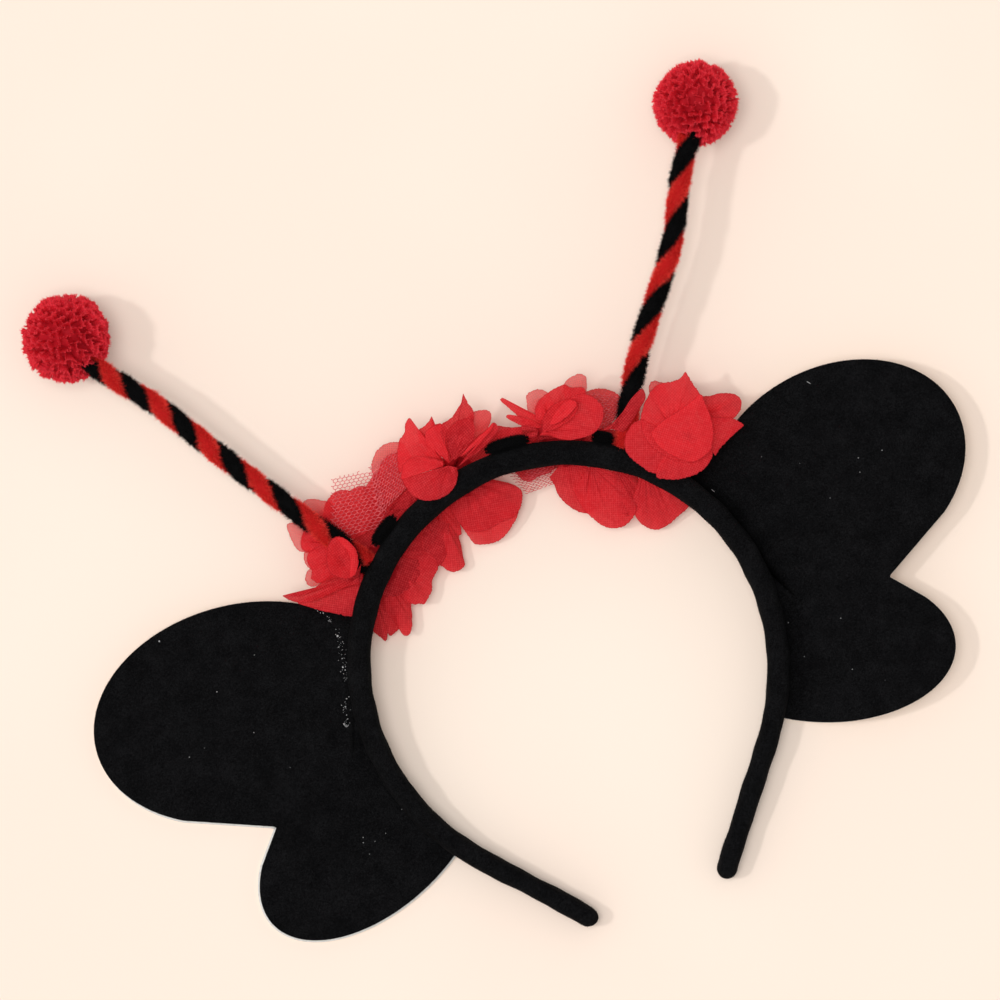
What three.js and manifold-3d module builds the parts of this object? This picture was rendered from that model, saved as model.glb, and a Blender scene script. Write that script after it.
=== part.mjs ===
// A costume headband with bee antennae, felt wings and cloth flowers, lying on its front face.
// Millimetres. +X is towards the right wing, +Y from the open ends of the band towards its
// crown, +Z up, away from the surface that the headband lies on.
import * as THREE from "three";
import { mergeVertices } from "three/addons/utils/BufferGeometryUtils.js";
import Module from "manifold-3d";

const wasm = await Module();
wasm.setup();

// Band: inner face in plan, and a section that gets slimmer towards the open ends
const CROWN_RADIUS = 66.5;
const TEMPLE_RADIUS = 75;
const LEFT_LEG_LENGTH = 40.5;
const RIGHT_LEG_LENGTH = 45;
const TONGUE_LENGTH = 4;
const BAND_THICKNESS = 8.7;
const TIP_THICKNESS = 7.1;
const BAND_HEIGHT = 10.5;
const BAND_ROUNDING = 3.1;

// How the headband lies: the ends of the band on the surface, the crown propped by its flowers
const CROWN_RISE = 14;
const END_FLAT_DEPTH = 0.5;

// Clearance between pieces that touch on the real object
const GAP = 0.3;

// Wings: black felt over a white board
const WING_REACH = 86;
const FELT_THICKNESS = 1.6;
const BOARD_THICKNESS = 1.0;
const BOARD_OVERHANG = 0.6;
const LEFT_WING_DROOP = 6;
const RIGHT_WING_HEIGHT = 13;

// Antenna stems: two chenille strands twisted into a rope
const STRAND_THICKNESS = 4.1;
const STRAND_WIDTH = 6.2;
const LEFT_STEM_LENGTH = 116.3;
const RIGHT_STEM_LENGTH = 108.7;
const STEM_END_HEIGHT = 22;

// Pompoms at the stems' ends
const LEFT_POMPOM_RADIUS = 14.9;
const RIGHT_POMPOM_RADIUS = 14.2;
const POMPOM_HEIGHT = 17;
const STEM_IN_POMPOM = 3;
const POMPOM_HEAD = 0.8;
const POMPOM_STRIPS = 11;
const STRIP_ROWS = 6;
const STRIP_START = 0.18;
const STRIP_END = 0.93;
const STRIP_WANDER = 0.3;
const STRIP_RIPPLE = 0.22;

// Flowers, tulle and stem tails
const BLOOM = 20;
const PETAL_THICKNESS = 1;
const TAIL_DIAMETER = 4.4;

const CROWN_MIDDLE = CROWN_RADIUS + BAND_THICKNESS / 2;
const CROWN_OUTER = CROWN_RADIUS + BAND_THICKNESS;
const TEMPLE_MIDDLE = TEMPLE_RADIUS + BAND_THICKNESS / 2;
const TEMPLE_CENTRE = CROWN_RADIUS - TEMPLE_RADIUS;
const HELIX_RADIUS = STRAND_THICKNESS / 2 + GAP;
const ROPE_RADIUS = HELIX_RADIUS + STRAND_THICKNESS / 2;

const radians = THREE.MathUtils.degToRad;
const mix = THREE.MathUtils.lerp;

/** The legs of the band below the crown: degrees that the temple's arc turns, and the straight. */
const LEGS = {
  left: { turn: 42, straight: LEFT_LEG_LENGTH },
  right: { turn: 37.5, straight: RIGHT_LEG_LENGTH },
};

/** Shape of the wing lobes. Lengths are shares of WING_REACH, angles are degrees. */
const WING_LOBES = {
  left: {
    upper: { out: 0.4, up: 0.25, long: 0.6, short: 0.427, tilt: 5.2, from: 144, to: -56 },
    notch: { out: 0.43, up: -0.22 },
    lower: { out: 0.085, up: -0.37, long: 0.533, short: 0.306, tilt: -22.8, from: 40, to: -110 },
  },
  right: {
    upper: { out: 0.376, up: 0.343, long: 0.534, short: 0.413, tilt: 8.6, from: 144, to: -56 },
    notch: { out: 0.43, up: -0.116 },
    lower: { out: 0.106, up: -0.292, long: 0.507, short: 0.3, tilt: -19.5, from: 40, to: -112 },
  },
};

/**
 * Antenna stems. Angles are degrees and pitch is in ROPE_RADIUS. Each sway is a place on the
 * stem and how far the stem lies to the left there, both as shares of its length.
 */
const STEMS = {
  left: {
    angle: 133.8, heading: 124.1, pitch: 5.9, tighten: 0.85, start: -0.4,
    sway: [[0.5, -0.002], [0.78, -0.012], [0.93, 0]],
  },
  right: {
    angle: 55.6, heading: 58, pitch: 7.0, tighten: 0.42, start: -0.67,
    sway: [[0.28, 0.015], [0.65, -0.015], [0.86, 0.001]],
  },
};

/** Where each flower sits: degrees round the crown; core and bud places are shares of BLOOM. */
const FLOWERS = {
  flower_left: { angle: 138, core: [0.3, 0.1], bud: [-0.15, 0.1] },
  flower_crown_left: { angle: 101, core: [0, -0.1], bud: [0, 0.2] },
  flower_crown_right: { angle: 73, core: [0.1, -0.1], bud: [-0.15, 0.25] },
  flower_right: { angle: 46, core: [0.05, 0], bud: [0.4, 0.25] },
};

/**
 * Petals of each flower, a row each. x0, y0 is the root and x1, y1 the tip, from the flower's
 * seat; width is across the widest place, which lies at the share wide of the length. All are
 * shares of BLOOM. round is 1 for a pointed tip and 2 for a round one, curl the degrees that each
 * side turns up. z0 and z1 are levels at root and tip: 0 is the surface under the headband, 1 the
 * underside of the band and 2 its top.
 */
const PETAL_COLUMNS = [
  "x0", "y0", "x1", "y1", "width", "wide", "round", "curl", "z0", "z1",
];
const PETALS = {
  flower_left: [
    [0, -0.05, -1.35, 0.2, 0.5, 0.35, 1.1, 15, 1.5, 1.3],
    [-0.25, 0.02, -0.17, 0.84, 0.55, 0.55, 2, 95, 1.95, 2.2],
    [-0.1, 0, -0.5, -0.42, 0.45, 0.6, 2, 0, 1.4, 1.22],
    [-0.15, 0.2, -0.9, 1.15, 0.45, 0.7, 2.2, 0, 1.0, 0.9],
    [-0.15, 0.15, -0.83, 0.65, 0.4, 0.6, 2, 0, 1.15, 1.0],
    [-0.15, 0.1, -0.92, 0.34, 0.32, 0.75, 2.2, 0, 1.25, 1.15],
    [-0.05, 0.25, -0.3, 1.6, 0.45, 0.6, 2, 0, 0.85, 0.85],
    [0.1, 0.15, 0.2, 1.55, 0.85, 0.6, 2.5, 0, 0.8, 0.92],
    [0.2, 0.2, 0.22, 0.85, 0.45, 0.5, 1.6, 35, 0.95, 1.3],
    [0.2, -0.1, 0, -1.12, 0.35, 0.6, 1.6, 0, 0.75, 0.4],
    [0.35, 0, 0.38, -1.17, 0.6, 0.65, 2, 10, 0.6, 0.35],
    [0.5, 0.1, 0.88, -0.76, 0.7, 0.55, 2, 0, 0.75, 0.5],
    [0.5, 0.2, 1.17, -0.3, 0.5, 0.6, 2, 0, 0.6, 0.6],
  ],
  flower_crown_left: [
    [-0.2, 0.1, -1.03, 0.86, 0.65, 0.7, 2.3, 0, 0.95, 0.75],
    [-0.2, 0.12, -1.33, -0.22, 0.35, 0.5, 1.6, 0, 1.2, 1.35],
    [0, 0.16, -0.43, -0.33, 0.85, 0.62, 2, 8, 2.15, 2.12],
    [0, 0.16, -0.63, 0.9, 0.75, 0.6, 2, 10, 1.95, 1.5],
    [-0.25, 0.4, -0.4, 1.11, 0.28, 0.4, 1.1, 0, 1.7, 1.4],
    [-0.1, 0.4, -0.03, 0.98, 0.17, 0.4, 1.1, 0, 1.65, 1.4],
    [0, 0.2, 0.59, 1.16, 0.5, 0.45, 1.2, 12, 1.8, 1.3],
    [0.05, 0.2, 0.93, 0.75, 0.5, 0.7, 2.4, 0, 1.5, 1.1],
    [0, 0.12, 0.94, 0.5, 0.33, 0.5, 2, 80, 1.9, 1.7],
    [0.05, 0.15, 1.3, 0.3, 0.28, 0.5, 1.5, 0, 1.25, 1.15],
    [-0.4, -0.25, -0.54, -1.6, 0.72, 0.6, 2, 0, 0.75, 0.4],
    [0.1, -0.2, 0.34, -1.37, 1.2, 0.6, 2.3, 5, 0.7, 0.4],
  ],
  flower_crown_right: [
    [-0.15, 0.25, -0.65, 1.0, 0.16, 0.3, 1.1, 0, 1.6, 1.3],
    [-0.15, 0.25, -0.67, 0.69, 0.22, 0.3, 1.1, 0, 1.35, 1.2],
    [-0.1, 0.25, -0.08, 0.94, 0.42, 0.72, 2.4, 0, 1.2, 1.0],
    [-0.1, 0.25, 0.3, 0.85, 0.55, 0.6, 2, 0, 1.6, 1.3],
    [-0.05, 0.25, 0.68, 0.95, 0.45, 0.75, 2.4, 0, 1.3, 1.0],
    [-0.2, 0.22, 0.55, 0.63, 0.38, 0.5, 2, 80, 2.0, 2.0],
    [-0.18, 0.25, 0.88, 0.2, 0.78, 0.58, 2.2, 20, 1.85, 1.85],
    [0, 0.2, 1.28, 0.33, 0.6, 0.7, 2, 0, 1.15, 0.82],
    [-0.05, 0.22, 1.66, 0.3, 0.42, 0.75, 1.8, 0, 1.7, 2.15],
    [-0.1, 0.22, -0.56, 0.27, 0.3, 0.5, 2, 0, 1.2, 1.1],
    [0.3, -0.3, 0.5, -1.75, 1.05, 0.62, 2.1, 5, 0.75, 0.45],
    [0.05, -0.3, -0.2, -1.12, 0.62, 0.6, 1.8, 0, 0.85, 0.6],
  ],
  flower_right: [
    [0.35, 0.25, 0.62, 1.17, 0.85, 0.8, 4, 5, 2.15, 1.6],
    [0.36, 0.6, 0.3, 1.28, 0.28, 0.4, 1.2, 0, 2.05, 1.6],
    [0.65, 0.6, 0.93, 1.24, 0.24, 0.4, 1.2, 0, 1.95, 1.6],
    [0.4, 0.25, 1.65, 0.5, 0.52, 0.72, 2.2, 8, 1.9, 1.4],
    [0.4, 0.22, 1.57, 0.03, 0.5, 0.6, 1.2, 0, 2.0, 1.7],
    [0.4, 0.3, 0.45, -0.46, 1.05, 0.6, 2.2, 6, 2.12, 2.12],
    [0.42, 0.25, -0.48, 0.37, 0.9, 0.6, 2.1, 8, 2.15, 2.12],
    [0.75, 0.3, -0.1, 0.42, 0.85, 0.6, 2, 14, 2.15, 2.45],
    [-0.1, -0.2, -0.36, -1.14, 0.85, 0.62, 2, 4, 0.75, 0.45],
    [-0.1, -0.1, -0.66, -0.7, 0.45, 0.6, 2, 0, 0.9, 0.7],
  ],
};

/** Folded scraps of tulle, rows as for the petals, with the flower whose seat they use. */
const TULLE = {
  tulle_left: {
    flower: "flower_left",
    row: [0.3, 0.85, 0.5, 1.8, 0.8, 0.6, 4, 0, 0.99, 1.03],
  },
  tulle_centre: {
    flower: "flower_crown_right",
    row: [0, -0.15, -0.62, -0.75, 0.8, 0.6, 4, 0, 0.55, 0.45],
  },
  tulle_right: {
    flower: "flower_crown_right",
    row: [0.92, 0.28, 1.25, 0.32, 0.5, 0.6, 3, 0, 1.01, 0.93],
  },
};

/** Black chenille tails that lie against the band's outer face: degrees round the crown. */
const TAILS = {
  stem_tail_left: { from: 127, to: 123.5 },
  stem_tail_centre: { from: 88, to: 82 },
  stem_tail_right: { from: 62, to: 59.8 },
};

/** Closed mesh from points and triangles, turned round if its faces point inwards. */
function closedMesh(points, faces) {
  let volume = 0;
  for (let i = 0; i < faces.length; i += 3) {
    const [a, b, c] = [points[faces[i]], points[faces[i + 1]], points[faces[i + 2]]];
    volume += a.dot(b.clone().cross(c));
  }
  const index = volume > 0 ? faces : faces.slice().reverse();
  return new THREE.BufferGeometry().setFromPoints(points).setIndex(index);
}

/** Closed mesh through rings with the same count of points, and a flat cap at each end. */
function loft(rings) {
  const count = rings[0].length;
  const last = (rings.length - 1) * count;
  const faces = [];
  for (let start = 0; start < last; start += count) {
    for (let j = 0; j < count; j += 1) {
      const next = (j + 1) % count;
      faces.push(start + j, start + next, start + count + next);
      faces.push(start + j, start + count + next, start + count + j);
    }
  }
  for (let j = 1; j + 1 < count; j += 1) {
    faces.push(0, j + 1, j);
    faces.push(last, last + j, last + j + 1);
  }
  return closedMesh(rings.flat(), faces);
}

/** Sheet of even thickness on both sides of a grid of points. */
function sheet(grid, thickness) {
  const rows = grid.length;
  const columns = grid[0].length;
  const offset = rows * columns;
  const at = (i, j) => i * columns + j;
  const clamp = THREE.MathUtils.clamp;
  const normals = grid.map((row, i) =>
    row.map((_, j) => {
      const along = grid[Math.min(i + 1, rows - 1)][j].clone().sub(grid[Math.max(i - 1, 0)][j]);
      const left = grid[i][clamp(j - 1, 0, columns - 1)];
      const across = grid[i][clamp(j + 1, 0, columns - 1)].clone().sub(left);
      return along.cross(across).normalize();
    }),
  );
  const face = (side) =>
    grid.flatMap((row, i) =>
      row.map((point, j) => point.clone().addScaledVector(normals[i][j], (side * thickness) / 2)),
    );
  const faces = [];
  for (let i = 0; i + 1 < rows; i += 1) {
    for (let j = 0; j + 1 < columns; j += 1) {
      const [a, b, c, d] = [at(i, j), at(i, j + 1), at(i + 1, j + 1), at(i + 1, j)];
      faces.push(a, b, c, a, c, d);
      faces.push(offset + a, offset + c, offset + b, offset + a, offset + d, offset + c);
    }
  }
  const rim = [];
  for (let j = 0; j + 1 < columns; j += 1) rim.push(at(0, j));
  for (let i = 0; i + 1 < rows; i += 1) rim.push(at(i, columns - 1));
  for (let j = columns - 1; j > 0; j -= 1) rim.push(at(rows - 1, j));
  for (let i = rows - 1; i > 0; i -= 1) rim.push(at(i, 0));
  rim.forEach((a, k) => {
    const b = rim[(k + 1) % rim.length];
    faces.push(b, a, offset + a, b, offset + a, offset + b);
  });
  return closedMesh([...face(1), ...face(-1)], faces);
}

/** Solid for joining and cutting. */
function solidOf(geometry) {
  const bare = geometry.clone();
  bare.deleteAttribute("normal");
  bare.deleteAttribute("uv");
  const merged = mergeVertices(bare, 1e-4);
  return new wasm.Manifold(
    new wasm.Mesh({
      numProp: 3,
      vertProperties: merged.attributes.position.array,
      triVerts: new Uint32Array(merged.index.array),
    }),
  );
}

/** Geometry of a solid. */
function geometryOf(solid) {
  const mesh = solid.getMesh();
  const geometry = new THREE.BufferGeometry();
  geometry.setAttribute("position", new THREE.BufferAttribute(mesh.vertProperties, 3));
  geometry.setIndex(new THREE.BufferAttribute(mesh.triVerts, 1));
  const shaded = geometry.toNonIndexed();
  shaded.computeVertexNormals();
  return shaded;
}

/** The largest body of a solid, without the scraps that a cut leaves. */
function mainBody(solid) {
  return solid.decompose().reduce((best, body) => (body.volume() > best.volume() ? body : best));
}

/** A point on the crown's circle, by its angle and its distance out of the band's outer face. */
function onCrown(angle, out) {
  const reach = CROWN_OUTER + out;
  return new THREE.Vector2(Math.cos(radians(angle)), Math.sin(radians(angle))).multiplyScalar(reach);
}

/** How far below the crown's centre a leg ends. */
function legDrop({ turn, straight }) {
  const arc = TEMPLE_MIDDLE * Math.sin(radians(turn));
  return arc + (straight + TONGUE_LENGTH) * Math.cos(radians(turn));
}

const TIP_DROP = Math.max(legDrop(LEGS.left), legDrop(LEGS.right));

/** Height of the band's underside. The crown's centre is at y = 0 in plan. */
function rise(y) {
  return ((y + TIP_DROP) / (CROWN_OUTER + TIP_DROP)) * CROWN_RISE - END_FLAT_DEPTH;
}

/** The leg on a side. */
function legOf(side) {
  return side < 0 ? LEGS.left : LEGS.right;
}

/** Half width of the hoop at y, measured to a line that lies out of the inner face. */
function hoopHalfWidth(side, y, out) {
  if (y >= 0) return Math.sqrt(Math.max(0, (CROWN_RADIUS + out) ** 2 - y ** 2));
  const radius = TEMPLE_RADIUS + out;
  const turn = radians(legOf(side).turn);
  const drop = radius * Math.sin(turn);
  if (-y <= drop) return TEMPLE_CENTRE + Math.sqrt(radius ** 2 - y ** 2);
  return TEMPLE_CENTRE + radius * Math.cos(turn) - (-y - drop) * Math.tan(turn);
}

/** Stations of the band's middle line on one side, from the top of the crown to the tip. */
function bandSide(side) {
  const stations = [];
  const crownSteps = 11;
  const templeSteps = 4;
  const legSteps = 3;
  const { straight } = legOf(side);
  const turn = radians(legOf(side).turn);
  for (let i = 0; i <= crownSteps; i += 1) {
    const a = (Math.PI / 2) * (1 - i / crownSteps);
    stations.push({ x: CROWN_MIDDLE * Math.cos(a), y: CROWN_MIDDLE * Math.sin(a), a, share: 1 });
  }
  for (let i = 1; i <= templeSteps; i += 1) {
    const a = (-turn * i) / templeSteps;
    const x = TEMPLE_CENTRE + TEMPLE_MIDDLE * Math.cos(a);
    stations.push({ x, y: TEMPLE_MIDDLE * Math.sin(a), a, share: 1 });
  }
  const { x, y } = stations[stations.length - 1];
  const runs = [];
  for (let i = 1; i <= legSteps; i += 1) runs.push([(straight * i) / legSteps, 1]);
  for (const end of [0.45, 0.8, 1]) {
    runs.push([straight + TONGUE_LENGTH * end, Math.sqrt(1 - (0.9 * end) ** 2)]);
  }
  for (const [run, share] of runs) {
    stations.push({ x: x - run * Math.sin(turn), y: y - run * Math.cos(turn), a: -turn, share });
  }
  return stations.map((station) => ({
    ...station,
    x: side * station.x,
    a: side > 0 ? station.a : Math.PI - station.a,
  }));
}

/** The padded band as a closed sweep, grown all round by a margin. */
function bandSolid(margin) {
  const left = bandSide(-1).reverse();
  const stations = [...left.slice(0, -1), ...bandSide(1)];
  const rings = stations.map(({ x, y, a, share }) => {
    const along = (y + TIP_DROP) / (CROWN_OUTER + TIP_DROP);
    const half = (mix(TIP_THICKNESS, BAND_THICKNESS, along) / 2) * share + margin;
    const tall = BAND_HEIGHT / 2 + margin;
    const corner = Math.min(BAND_ROUNDING + margin, half * 0.95);
    const bevel = corner * (1 - Math.SQRT1_2);
    const quarter = [
      [half, tall - corner],
      [half - bevel, tall - bevel],
      [half - corner, tall],
    ];
    const mirrored = quarter.map(([r, h]) => [-r, h]).reverse();
    const top = [...quarter, ...mirrored];
    const section = [...top, ...top.map(([r, h]) => [-r, -h])];
    return section.map(([r, h]) => {
      const z = rise(y) + BAND_HEIGHT / 2 + h;
      return new THREE.Vector3(x + r * Math.cos(a), y + r * Math.sin(a), z);
    });
  });
  return solidOf(loft(rings));
}

/** What lies below the surface that the headband rests on. */
function ground() {
  const span = 4 * CROWN_OUTER + 4 * WING_REACH;
  const depth = CROWN_RISE + BAND_HEIGHT;
  return solidOf(new THREE.BoxGeometry(span, span, depth).translate(0, 0, -depth / 2));
}

/** Height of the felt's upper face at a place out from the middle. */
function wingTop(side, out, y) {
  const beyond = Math.max(0, out - hoopHalfWidth(side, y, BAND_THICKNESS)) / WING_REACH;
  const underBand = rise(y) - GAP;
  const lowest = FELT_THICKNESS + GAP + BOARD_THICKNESS;
  if (side < 0) return Math.max(lowest, underBand - LEFT_WING_DROOP * beyond);
  const eased = THREE.MathUtils.smoothstep(beyond, 0, 0.35);
  return Math.max(lowest, mix(underBand, RIGHT_WING_HEIGHT, eased));
}

/** Points of one lobe's arc, as distances out and up from the crown's centre. */
function lobeArc(lobe, steps, grow) {
  const points = [];
  for (let i = 0; i <= steps; i += 1) {
    const t = radians(mix(lobe.from, lobe.to, i / steps));
    const u = (lobe.long * WING_REACH + grow) * Math.cos(t);
    const v = (lobe.short * WING_REACH + grow) * Math.sin(t);
    const tilt = radians(lobe.tilt);
    points.push(
      new THREE.Vector2(
        CROWN_OUTER + lobe.out * WING_REACH + u * Math.cos(tilt) - v * Math.sin(tilt),
        lobe.up * WING_REACH + u * Math.sin(tilt) + v * Math.cos(tilt),
      ),
    );
  }
  return points;
}

/** Outline of a wing: two lobes, the notch between them, and a root under the band. */
function wingOutline(side, lobes, grow) {
  const notch = new THREE.Vector2(
    CROWN_OUTER + lobes.notch.out * WING_REACH + grow,
    lobes.notch.up * WING_REACH,
  );
  const upper = lobeArc(lobes.upper, 17, grow);
  const lower = lobeArc(lobes.lower, 11, grow);
  const rootSteps = 4;
  const low = lower[lower.length - 1].y;
  const high = upper[0].y;
  const root = [];
  for (let i = 1; i < rootSteps; i += 1) {
    const y = mix(low, high, i / rootSteps);
    root.push(new THREE.Vector2(hoopHalfWidth(side, y, BAND_THICKNESS / 2), y));
  }
  return [...upper, notch, ...lower, ...root];
}

/** One layer of a wing, from a depth under the felt's upper face, as thick as given. */
function wingLayer(side, lobes, depth, thickness, grow) {
  const outline = wingOutline(side, lobes, grow);
  const hub = new THREE.Vector2(CROWN_OUTER + WING_REACH * 0.06, -WING_REACH * 0.08);
  const rings = [0.5, 1].map((share) => outline.map((point) => hub.clone().lerp(point, share)));
  const plan = [hub, ...rings.flat()];
  const count = outline.length;
  const place = ({ x, y }, down) =>
    new THREE.Vector3(side * x, y, wingTop(side, x, y) - depth - down);
  const points = [...plan.map((p) => place(p, 0)), ...plan.map((p) => place(p, thickness))];
  const under = plan.length;
  const rim = 1 + count;
  const faces = [];
  for (let j = 0; j < count; j += 1) {
    const next = (j + 1) % count;
    const quads = [[0, 1 + j, 1 + next], [1 + j, rim + j, rim + next], [1 + j, rim + next, 1 + next]];
    for (const [a, b, c] of quads) faces.push(a, b, c, under + a, under + c, under + b);
    faces.push(rim + j, under + rim + j, under + rim + next);
    faces.push(rim + j, under + rim + next, rim + next);
  }
  return closedMesh(points, faces);
}

/** The middle line of a stem, from the band's outer face to the pompom. */
function stemLine(name, length) {
  const { angle, heading, sway } = STEMS[name];
  const root = onCrown(angle, -GAP);
  const ahead = new THREE.Vector2(Math.cos(radians(heading)), Math.sin(radians(heading)));
  const left = new THREE.Vector2(-ahead.y, ahead.x);
  const low = rise(root.y) + BAND_HEIGHT / 2;
  const points = [[0, 0], ...sway, [1, 0]].map(([share, aside]) => {
    const place = root.clone().addScaledVector(ahead, share * length);
    place.addScaledVector(left, aside * length);
    return new THREE.Vector3(place.x, place.y, mix(low, STEM_END_HEIGHT, share));
  });
  return new THREE.CatmullRomCurve3(points);
}

/** Closed sweep round a line; ring(t, frame) gives the points round the place t on it. */
function sweep(line, steps, ring) {
  const rings = [];
  for (let i = 0; i <= steps; i += 1) {
    const t = i / steps;
    const ahead = line.getTangentAt(t);
    const up = new THREE.Vector3(0, 0, 1).addScaledVector(ahead, -ahead.z).normalize();
    const side = ahead.clone().cross(up);
    rings.push(ring(t, { centre: line.getPointAt(t), ahead, up, side }));
  }
  return loft(rings);
}

/** Round tube with eight sides along a line. */
function tube(line, steps, radiusAt) {
  return sweep(line, steps, (t, { centre, up, side }) => {
    const points = [];
    for (let j = 0; j < 8; j += 1) {
      const a = (j * Math.PI) / 4;
      const arm = up.clone().multiplyScalar(Math.cos(a)).addScaledVector(side, Math.sin(a));
      points.push(centre.clone().addScaledVector(arm, radiusAt(t)));
    }
    return points;
  });
}

/** One strand of a twisted stem: a flattened section that winds round the stem's line. */
function strand(name, length, startTurn) {
  const { pitch, tighten, start } = STEMS[name];
  const sides = 6;
  const line = stemLine(name, length);
  const firstPitch = pitch * ROPE_RADIUS;
  const turns = (t) => start + startTurn + (t * length) / firstPitch + tighten * t ** 2;
  const steps = Math.round((turns(1) - turns(0)) * 7);
  return sweep(line, steps, (t, { centre, ahead, up, side }) => {
    const turn = 2 * Math.PI * turns(t);
    const out = up.clone().multiplyScalar(Math.cos(turn)).addScaledVector(side, Math.sin(turn));
    const round = ahead.clone().cross(out);
    const slope = (2 * Math.PI * HELIX_RADIUS * (1 / firstPitch + (2 * tighten * t) / length));
    const flat = round.clone().addScaledVector(ahead, -slope).normalize();
    const points = [];
    for (let j = 0; j < sides; j += 1) {
      const a = (2 * Math.PI * j) / sides;
      points.push(
        centre
          .clone()
          .addScaledVector(out, HELIX_RADIUS + (STRAND_THICKNESS / 2) * Math.cos(a))
          .addScaledVector(flat, (STRAND_WIDTH / 2) * Math.sin(a)),
      );
    }
    return points;
  });
}

/** Centre of a pompom, a little past the end of its stem. */
function pompomCentre(name, length, radius) {
  const line = stemLine(name, length);
  const end = line.getPointAt(1);
  const ahead = line.getTangentAt(1);
  const past = radius - STEM_IN_POMPOM;
  return new THREE.Vector3(end.x + ahead.x * past, end.y + ahead.y * past, POMPOM_HEIGHT);
}

/**
 * A pompom: a round head with gathered strips that stand out of it and wander from the stem, where
 * they start round its bore, to the far side. Strips and head share their edges: one body.
 */
function pompomSolid(centre, radius, stemSide) {
  const columns = 2 * POMPOM_STRIPS;
  const cell = (2 * Math.PI) / columns;
  const points = [];
  const faces = [];
  const quad = (p, q, r, s) => faces.push(p, q, r, p, r, s);
  const place = (out, row, turn) => {
    const fall = Math.PI * THREE.MathUtils.lerp(STRIP_START, STRIP_END, row / STRIP_ROWS);
    const wander = STRIP_WANDER * Math.sin(3 * fall);
    points.push(new THREE.Vector3().setFromSphericalCoords(out, fall, turn + wander));
    return points.length - 1;
  };
  const foot = [];
  for (let row = 0; row <= STRIP_ROWS; row += 1) {
    foot.push([]);
    for (let column = 0; column < columns; column += 1) {
      foot[row].push(place(radius * POMPOM_HEAD, row, column * cell));
    }
    foot[row].push(foot[row][0]);
  }
  const rim = (strip, row, edge) => {
    const ripple = STRIP_RIPPLE * Math.sin(2.2 * row + 2.4 * strip);
    const out = radius * (1 - 0.03 * (1 + Math.cos(2.6 * row + 1.7 * strip)));
    return place(out, row, (2 * strip + edge + ripple) * cell);
  };
  const poles = [0, Math.PI].map((fall) => {
    points.push(new THREE.Vector3().setFromSphericalCoords(radius * POMPOM_HEAD, fall, 0));
    return points.length - 1;
  });
  for (let column = 0; column < columns; column += 1) {
    faces.push(poles[0], foot[0][column], foot[0][column + 1]);
    faces.push(poles[1], foot[STRIP_ROWS][column + 1], foot[STRIP_ROWS][column]);
  }
  for (let strip = 0; strip < POMPOM_STRIPS; strip += 1) {
    const [start, end] = [2 * strip, 2 * strip + 1];
    const top = foot.map((_, row) => [rim(strip, row, 0), rim(strip, row, 1)]);
    for (let row = 0; row < STRIP_ROWS; row += 1) {
      const [here, below] = [foot[row], foot[row + 1]];
      quad(here[end], below[end], below[end + 1], here[end + 1]);
      quad(here[start], below[start], top[row + 1][0], top[row][0]);
      quad(top[row][0], top[row + 1][0], top[row + 1][1], top[row][1]);
      quad(top[row][1], top[row + 1][1], below[end], here[end]);
    }
    quad(foot[0][end], foot[0][start], top[0][0], top[0][1]);
    const [last, lastTop] = [foot[STRIP_ROWS], top[STRIP_ROWS]];
    quad(last[start], last[end], lastTop[1], lastTop[0]);
  }
  const upright = new THREE.Vector3(0, 1, 0);
  const turned = new THREE.Quaternion().setFromUnitVectors(upright, stemSide);
  const ball = closedMesh(points, faces).applyQuaternion(turned);
  return solidOf(ball).translate([centre.x, centre.y, centre.z]);
}

/** Height of a level at a flower's seat: 0 the surface, 1 the band's underside, 2 its top. */
function levelHeight(seat, level) {
  const underside = rise(seat.y);
  return level < 1 ? underside * level : underside + BAND_HEIGHT * (level - 1);
}

/** A petal as a thin curved sheet from a row of the table. */
function petal(seat, row) {
  const p = Object.fromEntries(PETAL_COLUMNS.map((column, i) => [column, row[i]]));
  const root = new THREE.Vector2(seat.x + p.x0 * BLOOM, seat.y + p.y0 * BLOOM);
  const tip = new THREE.Vector2(seat.x + p.x1 * BLOOM, seat.y + p.y1 * BLOOM);
  const across = tip.clone().sub(root).normalize().rotateAround(new THREE.Vector2(), Math.PI / 2);
  const curl = radians(Math.max(p.curl, 1));
  const narrow = 0.06;
  const grid = [0, 0.3, 0.62, 0.86, 1].map((u) => {
    const swell = 0.4 + 0.6 * Math.sin((Math.PI / 2) * Math.min(1, u / p.wide));
    const past = Math.max(0, (u - p.wide) / (1 - p.wide));
    const taper = Math.max(narrow, (1 - past ** p.round) ** (1 / p.round));
    const half = ((p.width * BLOOM) / 2) * swell * taper;
    const radius = half / Math.sin(Math.min(curl, Math.PI / 2));
    const height = levelHeight(seat, mix(p.z0, p.z1, u));
    return (p.curl > 30 ? [-1, -0.34, 0.34, 1] : [-1, 0, 1]).map((v) => {
      const middle = root.clone().lerp(tip, u);
      middle.addScaledVector(across, radius * Math.sin(curl * v));
      return new THREE.Vector3(middle.x, middle.y, height + radius * (1 - Math.cos(curl * v)));
    });
  });
  return sheet(grid, PETAL_THICKNESS);
}

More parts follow.
